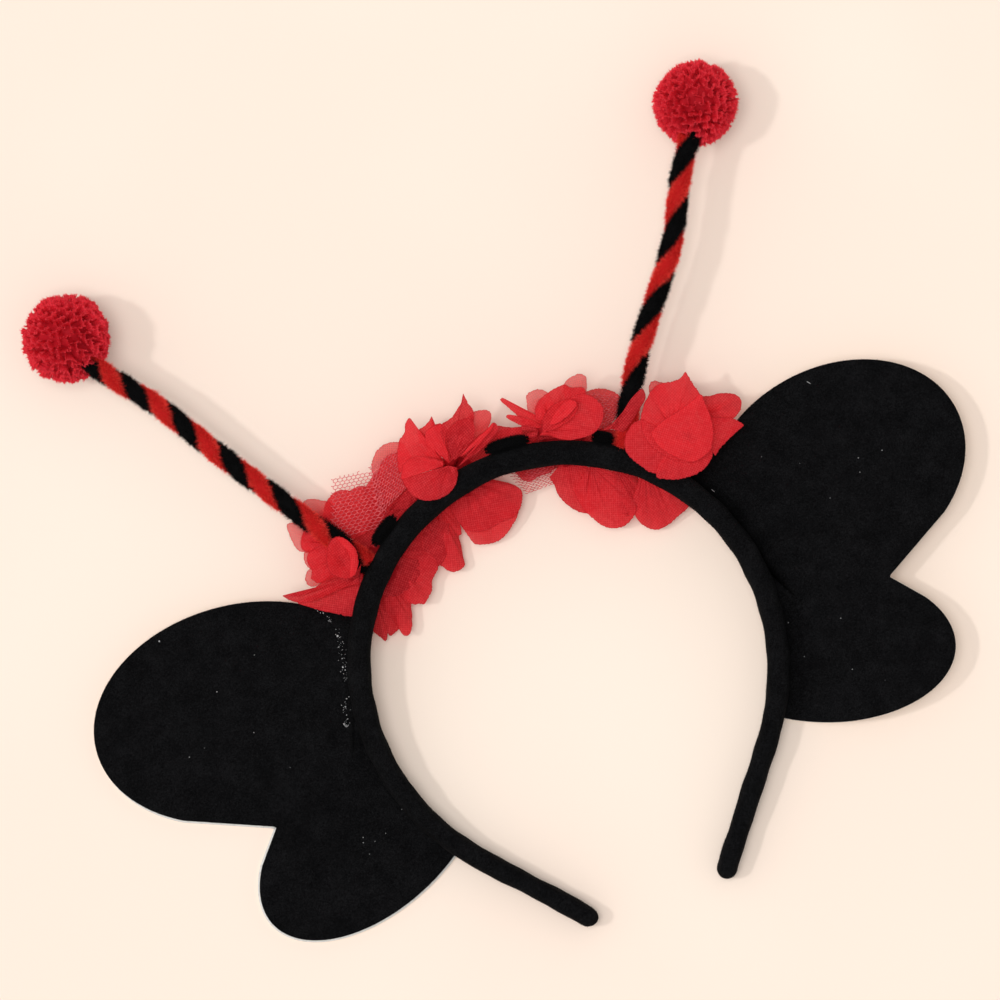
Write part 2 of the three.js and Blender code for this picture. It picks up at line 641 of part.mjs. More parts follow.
/** The gathered middle of a flower, under the band, and the bud beside its outer face. */
function flowerMiddle(seat, { core, bud }) {
  const top = levelHeight(seat, 1) - GAP;
  const width = BLOOM * 0.44;
  const coreProfile = [
    [0, 0],
    [width * 0.75, 0],
    [width, top * 0.35],
    [width * 0.8, top],
    [0, top],
  ];
  const low = levelHeight(seat, 0.3);
  const high = levelHeight(seat, 2.2);
  const stalk = BLOOM * 0.15;
  const budProfile = [
    [0, low],
    [stalk, low],
    [stalk * 0.8, high],
    [0, high],
  ];
  const turned = (profile, sides, [x, y]) => {
    const points = profile.map(([r, h]) => new THREE.Vector2(r, h));
    const lathe = new THREE.LatheGeometry(points, sides).rotateX(Math.PI / 2);
    return solidOf(lathe.translate(seat.x + x * BLOOM, seat.y + y * BLOOM, 0));
  };
  return turned(coreProfile, 12, core).add(turned(budProfile, 8, bud));
}

/** A flower with its petals fused to its middle. */
function flowerSolid(name) {
  const seat = onCrown(FLOWERS[name].angle, 0);
  return PETALS[name].reduce(
    (flower, row) => flower.add(solidOf(petal(seat, row))),
    flowerMiddle(seat, FLOWERS[name]),
  );
}

/** A solid joined with copies moved each way by the clearance, as a tool for cutting. */
function withClearance(solid) {
  let room = solid;
  for (const step of [GAP, -GAP]) {
    room = room.add(solid.translate([step, 0, 0]));
    room = room.add(solid.translate([0, step, 0]));
    room = room.add(solid.translate([0, 0, step]));
  }
  return room;
}

/** A stem tail: a short tapered stub of chenille along the band's outer face. */
function tailGeometry({ from, to }) {
  const out = TAIL_DIAMETER / 2 + GAP;
  const points = [from, (from + to) / 2, to].map((angle) => {
    const { x, y } = onCrown(angle, out);
    return new THREE.Vector3(x, y, rise(y) + BAND_HEIGHT * 0.72);
  });
  const line = new THREE.CatmullRomCurve3(points);
  return tube(line, 4, (t) => (TAIL_DIAMETER / 2) * Math.sqrt(1.05 - (2 * t - 1) ** 2 * 0.85));
}

const felt = new THREE.MeshStandardMaterial({ color: 0x0d0d0e, roughness: 0.95, metalness: 0 });
const board = new THREE.MeshStandardMaterial({ color: 0xe9e4dc, roughness: 0.8, metalness: 0 });
const blackPile = new THREE.MeshStandardMaterial({ color: 0x0a0a0b, roughness: 0.9, metalness: 0 });
const redPile = new THREE.MeshStandardMaterial({ color: 0xd2282c, roughness: 0.85, metalness: 0 });
const crimson = new THREE.MeshStandardMaterial({ color: 0xc41c32, roughness: 0.8, metalness: 0 });
const chiffon = new THREE.MeshStandardMaterial({ color: 0xcf1f2b, roughness: 0.7, metalness: 0 });

const headpiece = new THREE.Group();

/** Adds a named piece to the headpiece. */
function addPiece(name, geometry, material) {
  const mesh = new THREE.Mesh(geometry, material);
  mesh.name = name;
  headpiece.add(mesh);
}

const surface = ground();
const bandRoom = bandSolid(GAP);
addPiece("headband", geometryOf(bandSolid(0).subtract(surface)), felt);

const wingRooms = [];
for (const [name, side] of [["left", -1], ["right", 1]]) {
  const lobes = WING_LOBES[name];
  const boardDepth = FELT_THICKNESS + GAP;
  const whole = boardDepth + BOARD_THICKNESS;
  const feltLayer = wingLayer(side, lobes, 0, FELT_THICKNESS, 0);
  const boardLayer = wingLayer(side, lobes, boardDepth, BOARD_THICKNESS, BOARD_OVERHANG);
  addPiece(`wing_${name}_felt`, feltLayer, felt);
  addPiece(`wing_${name}_board`, boardLayer, board);
  wingRooms.push(solidOf(wingLayer(side, lobes, -GAP, whole + 2 * GAP, BOARD_OVERHANG + GAP)));
}
const wingRoom = wingRooms[0].add(wingRooms[1]);

const ropeRooms = [];
const pompoms = [
  ["left", LEFT_STEM_LENGTH, LEFT_POMPOM_RADIUS],
  ["right", RIGHT_STEM_LENGTH, RIGHT_POMPOM_RADIUS],
];
for (const [name, length, radius] of pompoms) {
  const past = STRAND_WIDTH / 2 + GAP;
  const room = solidOf(tube(stemLine(name, length + past), 24, () => ROPE_RADIUS + 2 * GAP));
  ropeRooms.push(room);
  for (const [colour, material, startTurn] of [["black", blackPile, 0], ["red", redPile, 0.5]]) {
    const winding = solidOf(strand(name, length, startTurn)).subtract(bandRoom);
    addPiece(`stem_${name}_${colour}`, geometryOf(mainBody(winding)), material);
  }
  const centre = pompomCentre(name, length, radius);
  const bore = stemLine(name, length + past / 2).getPointAt(1);
  const stemSide = bore.sub(centre).normalize();
  const ball = pompomSolid(centre, radius, stemSide).subtract(room).subtract(surface);
  addPiece(`pompom_${name}`, geometryOf(mainBody(ball)), crimson);
}

const ropeRoom = ropeRooms[0].add(ropeRooms[1]);
let taken = bandRoom.add(wingRoom).add(ropeRoom).add(surface);
for (const [name, stretch] of Object.entries(TAILS)) {
  const stub = mainBody(solidOf(tailGeometry(stretch)).subtract(ropeRoom));
  addPiece(name, geometryOf(stub), blackPile);
  taken = taken.add(withClearance(stub));
}
for (const name of Object.keys(FLOWERS)) {
  const flower = mainBody(flowerSolid(name).subtract(taken));
  addPiece(name, geometryOf(flower), chiffon);
  taken = taken.add(withClearance(flower));
}
for (const [name, { flower, row }] of Object.entries(TULLE)) {
  const scrap = solidOf(petal(onCrown(FLOWERS[flower].angle, 0), row)).subtract(taken);
  addPiece(name, geometryOf(mainBody(scrap)), chiffon);
}

// The origin is at the middle of the surface that the headband covers.
const box = new THREE.Box3().setFromObject(headpiece);
const middle = box.getCenter(new THREE.Vector3());
headpiece.position.set(-middle.x, -middle.y, 0);

export default headpiece;
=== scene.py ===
"""The looks of a costume headband with bee antennae, felt wings and cloth flowers.

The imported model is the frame. Shapes are worked out in millimetres round the centre of the
band's crown, +Y towards the crown's top, and are set down in the frame in metres.
"""

import logging
import math
from dataclasses import dataclass, field
from enum import Enum
from typing import Any, Callable, Sequence

import bpy
import numpy as np
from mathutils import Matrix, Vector


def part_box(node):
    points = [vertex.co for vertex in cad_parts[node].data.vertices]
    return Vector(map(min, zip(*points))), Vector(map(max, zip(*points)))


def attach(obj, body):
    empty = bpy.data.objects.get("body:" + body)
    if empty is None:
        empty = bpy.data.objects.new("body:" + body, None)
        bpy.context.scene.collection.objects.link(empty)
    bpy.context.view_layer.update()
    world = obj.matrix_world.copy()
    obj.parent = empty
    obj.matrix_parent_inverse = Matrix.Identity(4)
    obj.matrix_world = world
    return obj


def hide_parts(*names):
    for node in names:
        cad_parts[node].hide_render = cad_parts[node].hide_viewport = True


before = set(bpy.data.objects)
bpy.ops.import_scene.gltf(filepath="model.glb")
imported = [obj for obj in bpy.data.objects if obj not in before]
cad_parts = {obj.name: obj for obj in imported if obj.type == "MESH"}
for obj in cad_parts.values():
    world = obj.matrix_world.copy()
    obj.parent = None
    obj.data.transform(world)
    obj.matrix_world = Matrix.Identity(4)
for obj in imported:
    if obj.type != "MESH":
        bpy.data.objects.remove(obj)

MM = 0.001
BODY = "root"
LOG = logging.getLogger("headband")
Array = np.ndarray
Colour = tuple[float, float, float]


class Slot(Enum):
    """The record's material slots."""

    BLACK_FELT = "black_felt"
    WHITE_BOARD = "white_board"
    BLACK_PILE = "black_pile"
    RED_PILE = "red_pile"
    CRIMSON_MESH = "crimson_mesh"
    RED_CHIFFON = "red_chiffon"
    RED_TULLE = "red_tulle"


class Side(Enum):
    """The side of the headband, as the sign of x."""

    LEFT = -1
    RIGHT = 1

    @property
    def word(self) -> str:
        """The side's name in the nodes' names."""
        return self.name.lower()


# Small functions on points


def smoothstep(low: float, high: float, value: Array | float) -> Array:
    """Smooth ramp from 0 at low to 1 at high."""
    t = np.clip((np.asarray(value, float) - low) / (high - low), 0, 1)
    return t * t * (3 - 2 * t)


def unit(vectors: Array) -> Array:
    """Vectors of length one along the last axis."""
    return vectors / np.maximum(np.linalg.norm(vectors, axis=-1, keepdims=True), 1e-9)


def direction(degrees: float) -> Array:
    """Flat direction at an angle from +X."""
    return np.array([math.cos(math.radians(degrees)), math.sin(math.radians(degrees))])


def wander(points: Array, size: float, seed: int) -> Array:
    """Smooth random values about -1 to 1 over points.

    Args:
        points: places, the last axis x, y and z.
        size: length over which the values change.
        seed: which pattern.

    Returns:
        One value for each point.
    """
    rng = np.random.default_rng(seed)
    total = np.zeros(points.shape[:-1])
    for _ in range(6):
        wave = rng.normal(size=3) * 2 * math.pi / (size * 2.2)
        total += np.sin(points @ wave + rng.uniform(0, 2 * math.pi))
    return total / 2.4


def scatter(points: Array, faces: Array, count: int, rng: np.random.Generator) -> tuple[Array, Array]:
    """Random places on triangles, even by area.

    Args:
        points: corners of the mesh.
        faces: triangles.
        count: how many places.
        rng: random source.

    Returns:
        Places and the surface's directions there.
    """
    a, b, c = (points[faces[:, k]] for k in range(3))
    normals = np.cross(b - a, c - a)
    area = np.linalg.norm(normals, axis=1)
    chosen = rng.choice(len(faces), size=count, p=area / area.sum())
    r, s = np.sqrt(rng.random((count, 1))), rng.random((count, 1))
    places = a[chosen] * (1 - r) + b[chosen] * (r * (1 - s)) + c[chosen] * (r * s)
    return places, unit(normals[chosen])


def ring_triangles(rows: int, sides: int) -> Array:
    """Triangles over rows of closed rings, as rows of indices into their points."""
    index = np.arange(rows * sides).reshape(rows, sides)
    index = np.hstack([index, index[:, :1]])
    corners = [index[:-1, :-1], index[:-1, 1:], index[1:, 1:], index[1:, :-1]]
    a, b, c, d = (corner.ravel() for corner in corners)
    return np.vstack([np.stack([a, b, c], axis=1), np.stack([a, c, d], axis=1)])


def cross_directions(line: Array) -> tuple[Array, Array, Array]:
    """The ways along a line, up across it and aside, at each of its stations."""
    ahead = unit(np.gradient(line, axis=0))
    up = unit(np.array([0, 0, 1.0]) - ahead * ahead[:, 2:3])
    return ahead, up, np.cross(ahead, up)


def around(one: Array, two: Array, angles: Array) -> Array:
    """Ways round a line at angles in radians, from its two cross directions at each station."""
    return one[:, None] * np.cos(angles)[None, :, None] + two[:, None] * np.sin(angles)[None, :, None]


def smooth_curve(points: Array, steps: int) -> Array:
    """Even points on a centripetal curve through given points."""
    padded = np.vstack([2 * points[0] - points[1], points, 2 * points[-1] - points[-2]])
    fine = []
    for i in range(1, len(padded) - 2):
        p = padded[i - 1:i + 3]
        d = [max(np.linalg.norm(p[k + 1] - p[k]) ** 0.5, 1e-6) for k in range(3)]
        m1 = ((p[1] - p[0]) / d[0] - (p[2] - p[0]) / (d[0] + d[1]) + (p[2] - p[1]) / d[1]) * d[1]
        m2 = ((p[2] - p[1]) / d[1] - (p[3] - p[1]) / (d[1] + d[2]) + (p[3] - p[2]) / d[2]) * d[1]
        t = np.linspace(0, 1, 60, endpoint=i == len(padded) - 3)[:, None]
        fine.append(
            (2 * t**3 - 3 * t**2 + 1) * p[1] + (t**3 - 2 * t**2 + t) * m1
            + (3 * t**2 - 2 * t**3) * p[2] + (t**3 - t**2) * m2
        )
    line = np.vstack(fine)
    run = np.concatenate([[0], np.cumsum(np.linalg.norm(np.diff(line, axis=0), axis=1))])
    even = np.linspace(0, run[-1], steps + 1)
    return np.stack([np.interp(even, run, line[:, k]) for k in range(line.shape[1])], axis=1)


# Meshes


class MeshMaker:
    """Gathers points and faces of one piece, with the cloth's own coordinates and named shades."""

    def __init__(self, *shades: str) -> None:
        """Starts an empty piece.

        Args:
            shades: names of the values that each point carries for its material.
        """
        self.points: list[Array] = []
        self.faces: list[Array] = []
        self.weave: list[Array] = []
        self.shades: dict[str, list[Array]] = {name: [] for name in shades}
        self.count = 0

    def add(self, points: Array, faces: Array, weave: Array | None = None, **shades: Any) -> None:
        """Adds points and faces.

        Args:
            points: places in millimetres round the crown's centre.
            faces: rows of three or four indices into points.
            weave: flat coordinates in the cloth, in millimetres.
            shades: a value or an array of values for each named shade.
        """
        flat = np.asarray(points, float).reshape(-1, 3)
        self.faces.append(np.asarray(faces, int) + self.count)
        self.points.append(flat)
        self.weave.append(np.zeros((len(flat), 2)) if weave is None else weave.reshape(-1, 2))
        for name, kept in self.shades.items():
            value = np.asarray(shades.get(name, 0.0), float)
            kept.append(np.broadcast_to(value.reshape(-1) if value.ndim else value, len(flat)))
        self.count += len(flat)

    def grid(self, grid: Array, weave: Array | None = None, ring: bool = False, **shades: Any) -> None:
        """Adds a sheet of quads over a grid of points, whose rows close into rings if ring is true."""
        rows, columns = grid.shape[:2]
        index = np.arange(rows * columns).reshape(rows, columns)
        if ring:
            index = np.hstack([index, index[:, :1]])
        corners = [index[:-1, :-1], index[:-1, 1:], index[1:, 1:], index[1:, :-1]]
        faces = np.stack([corner.ravel() for corner in corners], axis=1)
        self.add(grid, faces, weave, **shades)

    def tube(self, rings: Array, **shades: Any) -> None:
        """Adds a closed tube through rings of points, with a point at the middle of each end."""
        first, sides = self.count, rings.shape[1]
        self.grid(rings, ring=True, **shades)
        last = self.count - sides
        self._cap(last, rings[-1].mean(axis=0), sides, False)
        self._cap(first, rings[0].mean(axis=0), sides, True)

    def _cap(self, start: int, hub: Array, sides: int, turned: bool) -> None:
        """Joins a ring, from the index of its first point, to a hub by triangles."""
        around = np.arange(sides)
        corners = [start + around, start + np.roll(around, -1), np.full(sides, self.count)]
        self.faces.append(np.stack(corners[::-1] if turned else corners, axis=1))
        self.points.append(hub[None])
        self.weave.append(np.zeros((1, 2)))
        for kept in self.shades.values():
            kept.append(kept[-1][-1:])
        self.count += 1

    def fibres(
        self, roots: Array, tips: Array, width: float, rng: np.random.Generator, **shades: Any
    ) -> None:
        """Adds one slim triangle for each fibre, wide at the root and ending in the tip."""
        along = unit(tips - roots)
        across = unit(np.cross(along, rng.normal(size=roots.shape))) * width / 2
        points = np.stack([roots - across, roots + across, tips], axis=1)
        faces = np.arange(len(roots) * 3).reshape(-1, 3)
        tone = np.repeat(rng.random(len(roots)), 3)
        tip = np.tile([0.0, 0.0, 1.0], len(roots))
        self.add(points, faces, tone=tone, tip=tip, **shades)

    def area(self) -> float:
        """Area of all the faces in square millimetres."""
        points, total = np.vstack(self.points), 0.0
        for faces in self.faces:
            corners = points[faces]
            one = corners[:, 2] - corners[:, 0]
            other = corners[:, -1] - corners[:, 1]
            total += np.linalg.norm(np.cross(one, other), axis=1).sum() / 2
        return float(total)

    def finish(self, name: str, smooth: bool = True) -> bpy.types.Object:
        """Builds the Blender object, in the frame's metres.

        Args:
            name: the piece's name.
            smooth: whether its faces are shaded smooth.

        Returns:
            The object, linked to the scene.
        """
        points = np.vstack(self.points)
        mesh = bpy.data.meshes.new(name)
        sizes = np.concatenate([np.full(len(f), f.shape[1]) for f in self.faces])
        corners = np.concatenate([f.ravel() for f in self.faces])
        mesh.vertices.add(len(points))
        mesh.vertices.foreach_set("co", (HOOP.set_down(points)).astype(np.float32).ravel())
        mesh.loops.add(len(corners))
        mesh.loops.foreach_set("vertex_index", corners.astype(np.int32))
        mesh.polygons.add(len(sizes))
        starts = np.concatenate([[0], np.cumsum(sizes)[:-1]])
        mesh.polygons.foreach_set("loop_start", starts.astype(np.int32))
        mesh.update(calc_edges=True)
        mesh.polygons.foreach_set("use_smooth", np.full(len(sizes), smooth))
        layer = mesh.uv_layers.new(name="weave")
        layer.data.foreach_set("uv", np.vstack(self.weave)[corners].astype(np.float32).ravel())
        for shade, kept in self.shades.items():
            values = mesh.attributes.new(shade, "FLOAT", "POINT")
            values.data.foreach_set("value", np.concatenate(kept).astype(np.float32))
        mesh.validate()
        piece = bpy.data.objects.new(name, mesh)
        bpy.context.scene.collection.objects.link(piece)
        return piece


def settle(
    piece: bpy.types.Object,
    finish: bpy.types.Material,
    nodes: Sequence[str] = (),
) -> bpy.types.Object:
    """Dresses a piece and fixes it to the frame.

    Args:
        piece: the object.
        finish: its material.
        nodes: the CAD nodes that it stands for.

    Returns:
        The same piece.
    """
    piece.data.materials.append(finish)
    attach(piece, BODY)
    if nodes:
        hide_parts(*nodes)
    LOG.info("%s: %d faces", piece.name, len(piece.data.polygons))
    return piece


# Shader maths


class Value:
    """A number that varies over a surface. Arithmetic on it adds Math nodes."""

    def __init__(self, kit: "NodeKit", socket: bpy.types.NodeSocket) -> None:
        """Wraps an output socket of a node tree."""
        self.kit = kit
        self.socket = socket

    def _math(self, operation: str, *others: "Value | float", first: bool = True) -> "Value":
        """A Math node of this value and others, this one first unless first is false."""
        order = [self, *others] if first else [*others, self]
        made = self.kit.node("ShaderNodeMath", {"operation": operation}, dict(enumerate(order)))
        return Value(self.kit, made.outputs[0])

    def __add__(self, other: "Value | float") -> "Value":
        """Sum."""
        return self._math("ADD", other)

    def __radd__(self, other: float) -> "Value":
        """Sum, the number first."""
        return self._math("ADD", other)

    def __sub__(self, other: "Value | float") -> "Value":
        """Difference."""
        return self._math("SUBTRACT", other)

    def __rsub__(self, other: float) -> "Value":
        """Difference, the number first."""
        return self._math("SUBTRACT", other, first=False)

    def __mul__(self, other: "Value | float") -> "Value":
        """Product."""
        return self._math("MULTIPLY", other)

    def __rmul__(self, other: float) -> "Value":
        """Product, the number first."""
        return self._math("MULTIPLY", other)

    def wave(self) -> "Value":
        """Sine of the value in radians."""
        return self._math("SINE")

    def size(self) -> "Value":
        """The value without its sign."""
        return self._math("ABSOLUTE")

    def most(self, other: "Value | float") -> "Value":
        """The greater of two."""
        return self._math("MAXIMUM", other)

    def ramp(self, low: float, high: float) -> "Value":
        """Smooth ramp from 0 at low to 1 at high, or the other way round if high is less."""
        span, flip = (low, high), high < low
        made = self.kit.node(
            "ShaderNodeMapRange",
            {"interpolation_type": "SMOOTHSTEP"},
            {"Value": self, "From Min": min(span), "From Max": max(span)},
        )
        value = Value(self.kit, made.outputs["Result"])
        return 1 - value if flip else value


class NodeKit:
    """A material in the making."""

    def __init__(self, name: str) -> None:
        """Starts a material with an empty node tree."""
        self.material = bpy.data.materials.new(name)
        self.material.use_nodes = True
        self.tree = self.material.node_tree
        self.tree.nodes.clear()

    def node(self, kind: str, settings: dict | None = None, sockets: dict | None = None) -> bpy.types.Node:
        """Adds a node.

        Args:
            kind: the node's type.
            settings: its own settings, and "stops" for a colour ramp's places and colours.
            sockets: a value, a Value or a socket for each input, by name or place.

        Returns:
            The node.
        """
        made = self.tree.nodes.new(kind)
        for name, setting in (settings or {}).items():
            if name == "stops":
                self._stops(made.color_ramp.elements, setting)
            else:
                setattr(made, name, setting)
        for key, value in (sockets or {}).items():
            if isinstance(value, Value):
                self.tree.links.new(value.socket, made.inputs[key])
            elif isinstance(value, bpy.types.NodeSocket):
                self.tree.links.new(value, made.inputs[key])
            else:
                made.inputs[key].default_value = value
        return made

    @staticmethod
    def _stops(elements: Any, stops: Sequence[tuple[float, Colour]]) -> None:
        """Sets a ramp's two or more stops."""
        while len(elements) < len(stops):
            elements.new(1)
        for element, (place, colour) in zip(elements, stops):
            element.position = place
            element.color = (*colour, 1)

    def place(self) -> bpy.types.NodeSocket:
        """The place on the object, in metres."""
        return self.node("ShaderNodeTexCoord").outputs["Object"]

    def weave(self, angle: float = 0) -> tuple[Value, Value]:
        """The two coordinates in the cloth, in millimetres, turned by an angle in degrees."""
        uv = self.node("ShaderNodeUVMap", {"uv_map": "weave"}).outputs[0]
        parts = self.node("ShaderNodeSeparateXYZ", None, {0: uv})
        x, y = (Value(self, parts.outputs[k]) for k in (0, 1))
        c, s = direction(angle)
        return x * float(c) + y * float(s), y * float(c) - x * float(s)

    def shade(self, name: str) -> Value:
        """A value that the mesh's points carry."""
        return Value(self, self.node("ShaderNodeAttribute", {"attribute_name": name}).outputs["Fac"])

    def noise(self, size: float, detail: float = 2, distortion: float = 0, place: Any = None) -> Value:
        """Noise of 0 to 1 whose lumps are about a size in millimetres."""
        sockets = {
            "Vector": place or self.place(),
            "Scale": 1 / (size * MM),
            "Detail": detail,
            "Distortion": distortion,
        }
        return Value(self, self.node("ShaderNodeTexNoise", None, sockets).outputs["Fac"])

    def mix(self, factor: Value | float, first: Any, second: Any) -> bpy.types.NodeSocket:
        """A colour between two, each a colour or a socket."""
        colours = [(*c, 1) if isinstance(c, tuple) else c for c in (first, second)]
        sockets = {"Factor": factor, 6: colours[0], 7: colours[1]}
        return self.node("ShaderNodeMix", {"data_type": "RGBA"}, sockets).outputs[2]

    def bump(self, height: Value, depth: float, strength: float = 1) -> bpy.types.NodeSocket:
        """A normal from a height of 0 to 1 that stands for a depth in millimetres."""
        sockets = {"Height": height, "Distance": depth * MM, "Strength": strength}
        return self.node("ShaderNodeBump", None, sockets).outputs[0]

    def surface(self, **sockets: Any) -> bpy.types.Node:
        """The Principled shader, with its inputs named in words joined by underscores."""
        named = {name.replace("_", " "): value for name, value in sockets.items()}
        return self.node("ShaderNodeBsdfPrincipled", None, named)

    def lit_through(self, front: bpy.types.Node, share: float, colour: Any) -> bpy.types.Node:
        """A shader that lets a share of the light through, in a colour."""
        glow = self.node("ShaderNodeBsdfTranslucent", None, {"Color": colour})
        sockets = {0: share, 1: front.outputs[0], 2: glow.outputs[0]}
        return self.node("ShaderNodeMixShader", None, sockets)

    def close(self, shader: bpy.types.Node) -> bpy.types.Material:
        """Ends the tree in a shader."""
        self.node("ShaderNodeOutputMaterial", None, {"Surface": shader.outputs[0]})
        return self.material


# Finishes


@dataclass(frozen=True)
class FeltFinish:
    """Pressed wool felt: matted fibres and a soft nap."""

    name: str
    dark: Colour = (0.0008, 0.0008, 0.001)
    light: Colour = (0.0105, 0.0105, 0.0115)
    fibre: float = 0.55

    def material(self) -> bpy.types.Material:
        """The material."""
        kit = NodeKit(self.name)
        mat = kit.noise(self.fibre, 4, 1.2)
        strands = 1 - (kit.noise(self.fibre * 1.6, 3, 2.5) - 0.5).size() * 9
        lumps = kit.noise(7, 2)
        height = mat * 0.7 + strands.ramp(0, 1) * 0.3
        pale = (height * 0.75 + lumps * 0.25).ramp(0.36, 0.72)
        colour = kit.mix(pale, self.dark, self.light)
        shader = kit.surface(
            Base_Color=colour,
            Roughness=0.95,
            Specular_IOR_Level=0.06,
            Normal=kit.bump(height, 0.22),
        )
        return kit.close(shader)


@dataclass(frozen=True)
class BoardFinish:
    """White board with a faintly mottled paper face."""

    name: str
    face: Colour = (0.8, 0.78, 0.74)
    worn: Colour = (0.62, 0.59, 0.55)

    def material(self) -> bpy.types.Material:
        """The material."""
        kit = NodeKit(self.name)
        mottle = kit.noise(1.1, 4)
        fine = kit.noise(0.25, 2)
        colour = kit.mix((mottle * 0.6 + fine * 0.4).ramp(0.35, 0.75), self.face, self.worn)
        shader = kit.surface(Base_Color=colour, Roughness=0.8, Normal=kit.bump(fine, 0.05))
        return kit.close(shader)


@dataclass(frozen=True)
class PileFinish:
    """Chenille or fuzz: each fibre its own tone, with painted shade at the root and a lighter painted
    highlight at the tip.
    """

    name: str
    # root is the painted shade deep in the pile, tip the painted highlight at the fibres' ends.
    root: Colour
    tip: Colour
    gloss: float = 0.15
    glow: float = 0.0

    def material(self) -> bpy.types.Material:
        """The material."""
        kit = NodeKit(self.name)
        tone, tip = kit.shade("tone"), kit.shade("tip")
        # Painted shade and highlight: the colour runs from the root colour to the tip colour along each
        # fibre, shifted by its own random tone.
        reach = (tip * 0.7 + tone * 0.45).ramp(0.05, 1.1)
        colour = kit.mix(reach, self.root, self.tip)
        shader = kit.surface(
            Base_Color=colour,
            Roughness=0.82,
            Specular_IOR_Level=self.gloss,
        )
        if not self.glow:
            return kit.close(shader)
        return kit.close(kit.lit_through(shader, self.glow, colour))


@dataclass(frozen=True)
class ChiffonFinish:
    """Fine woven cloth: a square weave, dark heat-cut rims, and light that comes through."""

    name: str
    body: Colour = (0.80, 0.020, 0.029)
    shadow: Colour = (0.40, 0.007, 0.013)
    thread: Colour = (0.92, 0.075, 0.085)
    rim: Colour = (0.2, 0.006, 0.012)
    light: Colour = (0.88, 0.03, 0.035)
    glow: float = 0.28
    pitch: float = 0.74

    def material(self) -> bpy.types.Material:
        """The material."""
        kit = NodeKit(self.name)
        turns = 2 * math.pi / self.pitch
        across, along = kit.weave()
        warp = (across * turns).wave() * 0.5 + 0.5
        weft = (along * turns).wave() * 0.5 + 0.5
        threads = warp.most(weft)
        cloud = kit.noise(3.5, 3)
        edge = kit.shade("edge").ramp(0.38, 0.06)
        tone = kit.shade("tone")
        # Painted shade: each petal's tone, together with cloudy noise, darkens the body towards the shadow
        # colour.
        base = kit.mix((cloud * 0.5 + tone * 0.8).ramp(0.1, 1.0), self.body, self.shadow)
        fleck = kit.noise(0.9, 2).ramp(0.3, 0.7)
        woven = kit.mix(threads.ramp(0.5, 1.0) * (fleck * 0.45 + 0.15), base, self.thread)
        colour = kit.mix(edge * 0.45, woven, self.rim)
        sheer = kit.shade("sheer")
        gaps = 1 - threads.ramp(0.2, 0.75)
        alpha = 1 - sheer * (0.65 + gaps * 0.5) * (1 - edge * 0.8)
        normal = kit.bump(threads * 0.6 + cloud * 0.4, 0.12)
        front = kit.surface(
            Base_Color=colour,
            Roughness=0.72,
            Specular_IOR_Level=0.1,
            Alpha=alpha,
            Normal=normal,
        )
        return kit.close(kit.lit_through(front, self.glow, (*self.light, 1)))


@dataclass(frozen=True)
class GatherFinish:
    """Knitted mesh of the pompoms: rows of small loops, painted shade deeper inside the ball and a painted
    highlight at the ruffles' edges.
    """

    name: str
    outer: Colour = (0.86, 0.024, 0.048)
    painted_deep_shade: Colour = (0.62, 0.011, 0.025)
    loop_and_painted_highlight: Colour = (0.94, 0.08, 0.11)
    light: Colour = (0.95, 0.035, 0.07)
    glow: float = 0.36
    pitch: float = 0.95

    def material(self) -> bpy.types.Material:
        """The material."""
        kit = NodeKit(self.name)
        turns = 2 * math.pi / self.pitch
        across, along = kit.weave()
        rows = (along * turns).wave() * 0.5 + 0.5
        stitches = (across * turns + (along * turns * 0.5).wave() * 1.2).wave() * 0.5 + 0.5
        loops = rows * stitches
        depth = kit.shade("depth")
        # Painted shade: the colour darkens from the outer rows towards the middle of the ball.
        base = kit.mix(depth.ramp(0.15, 0.95), self.painted_deep_shade, self.outer)
        # The loop colour lightens the knitted loops and paints a highlight along the ruffles' outer edge.
        loop_and_highlight_mask = (loops.ramp(0.3, 0.95) * 0.5).most(depth.ramp(0.86, 1.0) * 0.75)
        colour = kit.mix(loop_and_highlight_mask, base, self.loop_and_painted_highlight)
        holes = (1 - rows.most(stitches)).ramp(0.62, 0.85)
        shader = kit.surface(
            Base_Color=colour,
            Roughness=0.7,
            Specular_IOR_Level=0.18,
            Alpha=1 - holes * 0.55,
            Normal=kit.bump(loops, 0.3),
        )
        return kit.close(kit.lit_through(shader, self.glow, (*self.light, 1)))


@dataclass(frozen=True)
class NetFinish:
    """Fine twisted thread of the tulle."""

    name: str
    thread: Colour = (0.52, 0.02, 0.035)
    light: Colour = (0.78, 0.09, 0.10)

    def material(self) -> bpy.types.Material:
        """The material."""
        kit = NodeKit(self.name)
        colour = kit.mix(kit.noise(0.8, 2).ramp(0.35, 0.7), self.thread, self.light)
        shader = kit.surface(Base_Color=colour, Roughness=0.55, Normal=kit.bump(kit.noise(0.12), 0.02))
        return kit.close(shader)


@dataclass(frozen=True)
class GlueFinish:
    """Set hot glue: milky, wet-looking and half clear."""

    name: str
    tint: Colour = (0.32, 0.32, 0.33)
    clear: float = 0.45

    def material(self) -> bpy.types.Material:
        """The material."""
        kit = NodeKit(self.name)
        cloud = kit.noise(0.9, 3)
        colour = kit.mix(cloud.ramp(0.3, 0.7), self.tint, (0.7, 0.7, 0.7))
        shader = kit.surface(
            Base_Color=colour,
            Roughness=0.12,
            Coat_Weight=0.6,
            Alpha=1 - self.clear * cloud.ramp(0.7, 0.3),
            Normal=kit.bump(kit.noise(0.6, 2), 0.05),
        )
        return kit.close(shader)


@dataclass(frozen=True)
class FloorFinish:
    """Pale warm paper that the headband is laid on."""

    name: str
    paper: Colour = (0.94, 0.785, 0.675)
    blush: Colour = (0.94, 0.815, 0.705)

    def material(self) -> bpy.types.Material:
        """The material."""
        kit = NodeKit(self.name)
        colour = kit.mix(kit.noise(150, 1).ramp(0.45, 0.75), self.paper, self.blush)
        return kit.close(kit.surface(Base_Color=colour, Roughness=0.9, Specular_IOR_Level=0.1))


# Sub-assemblies


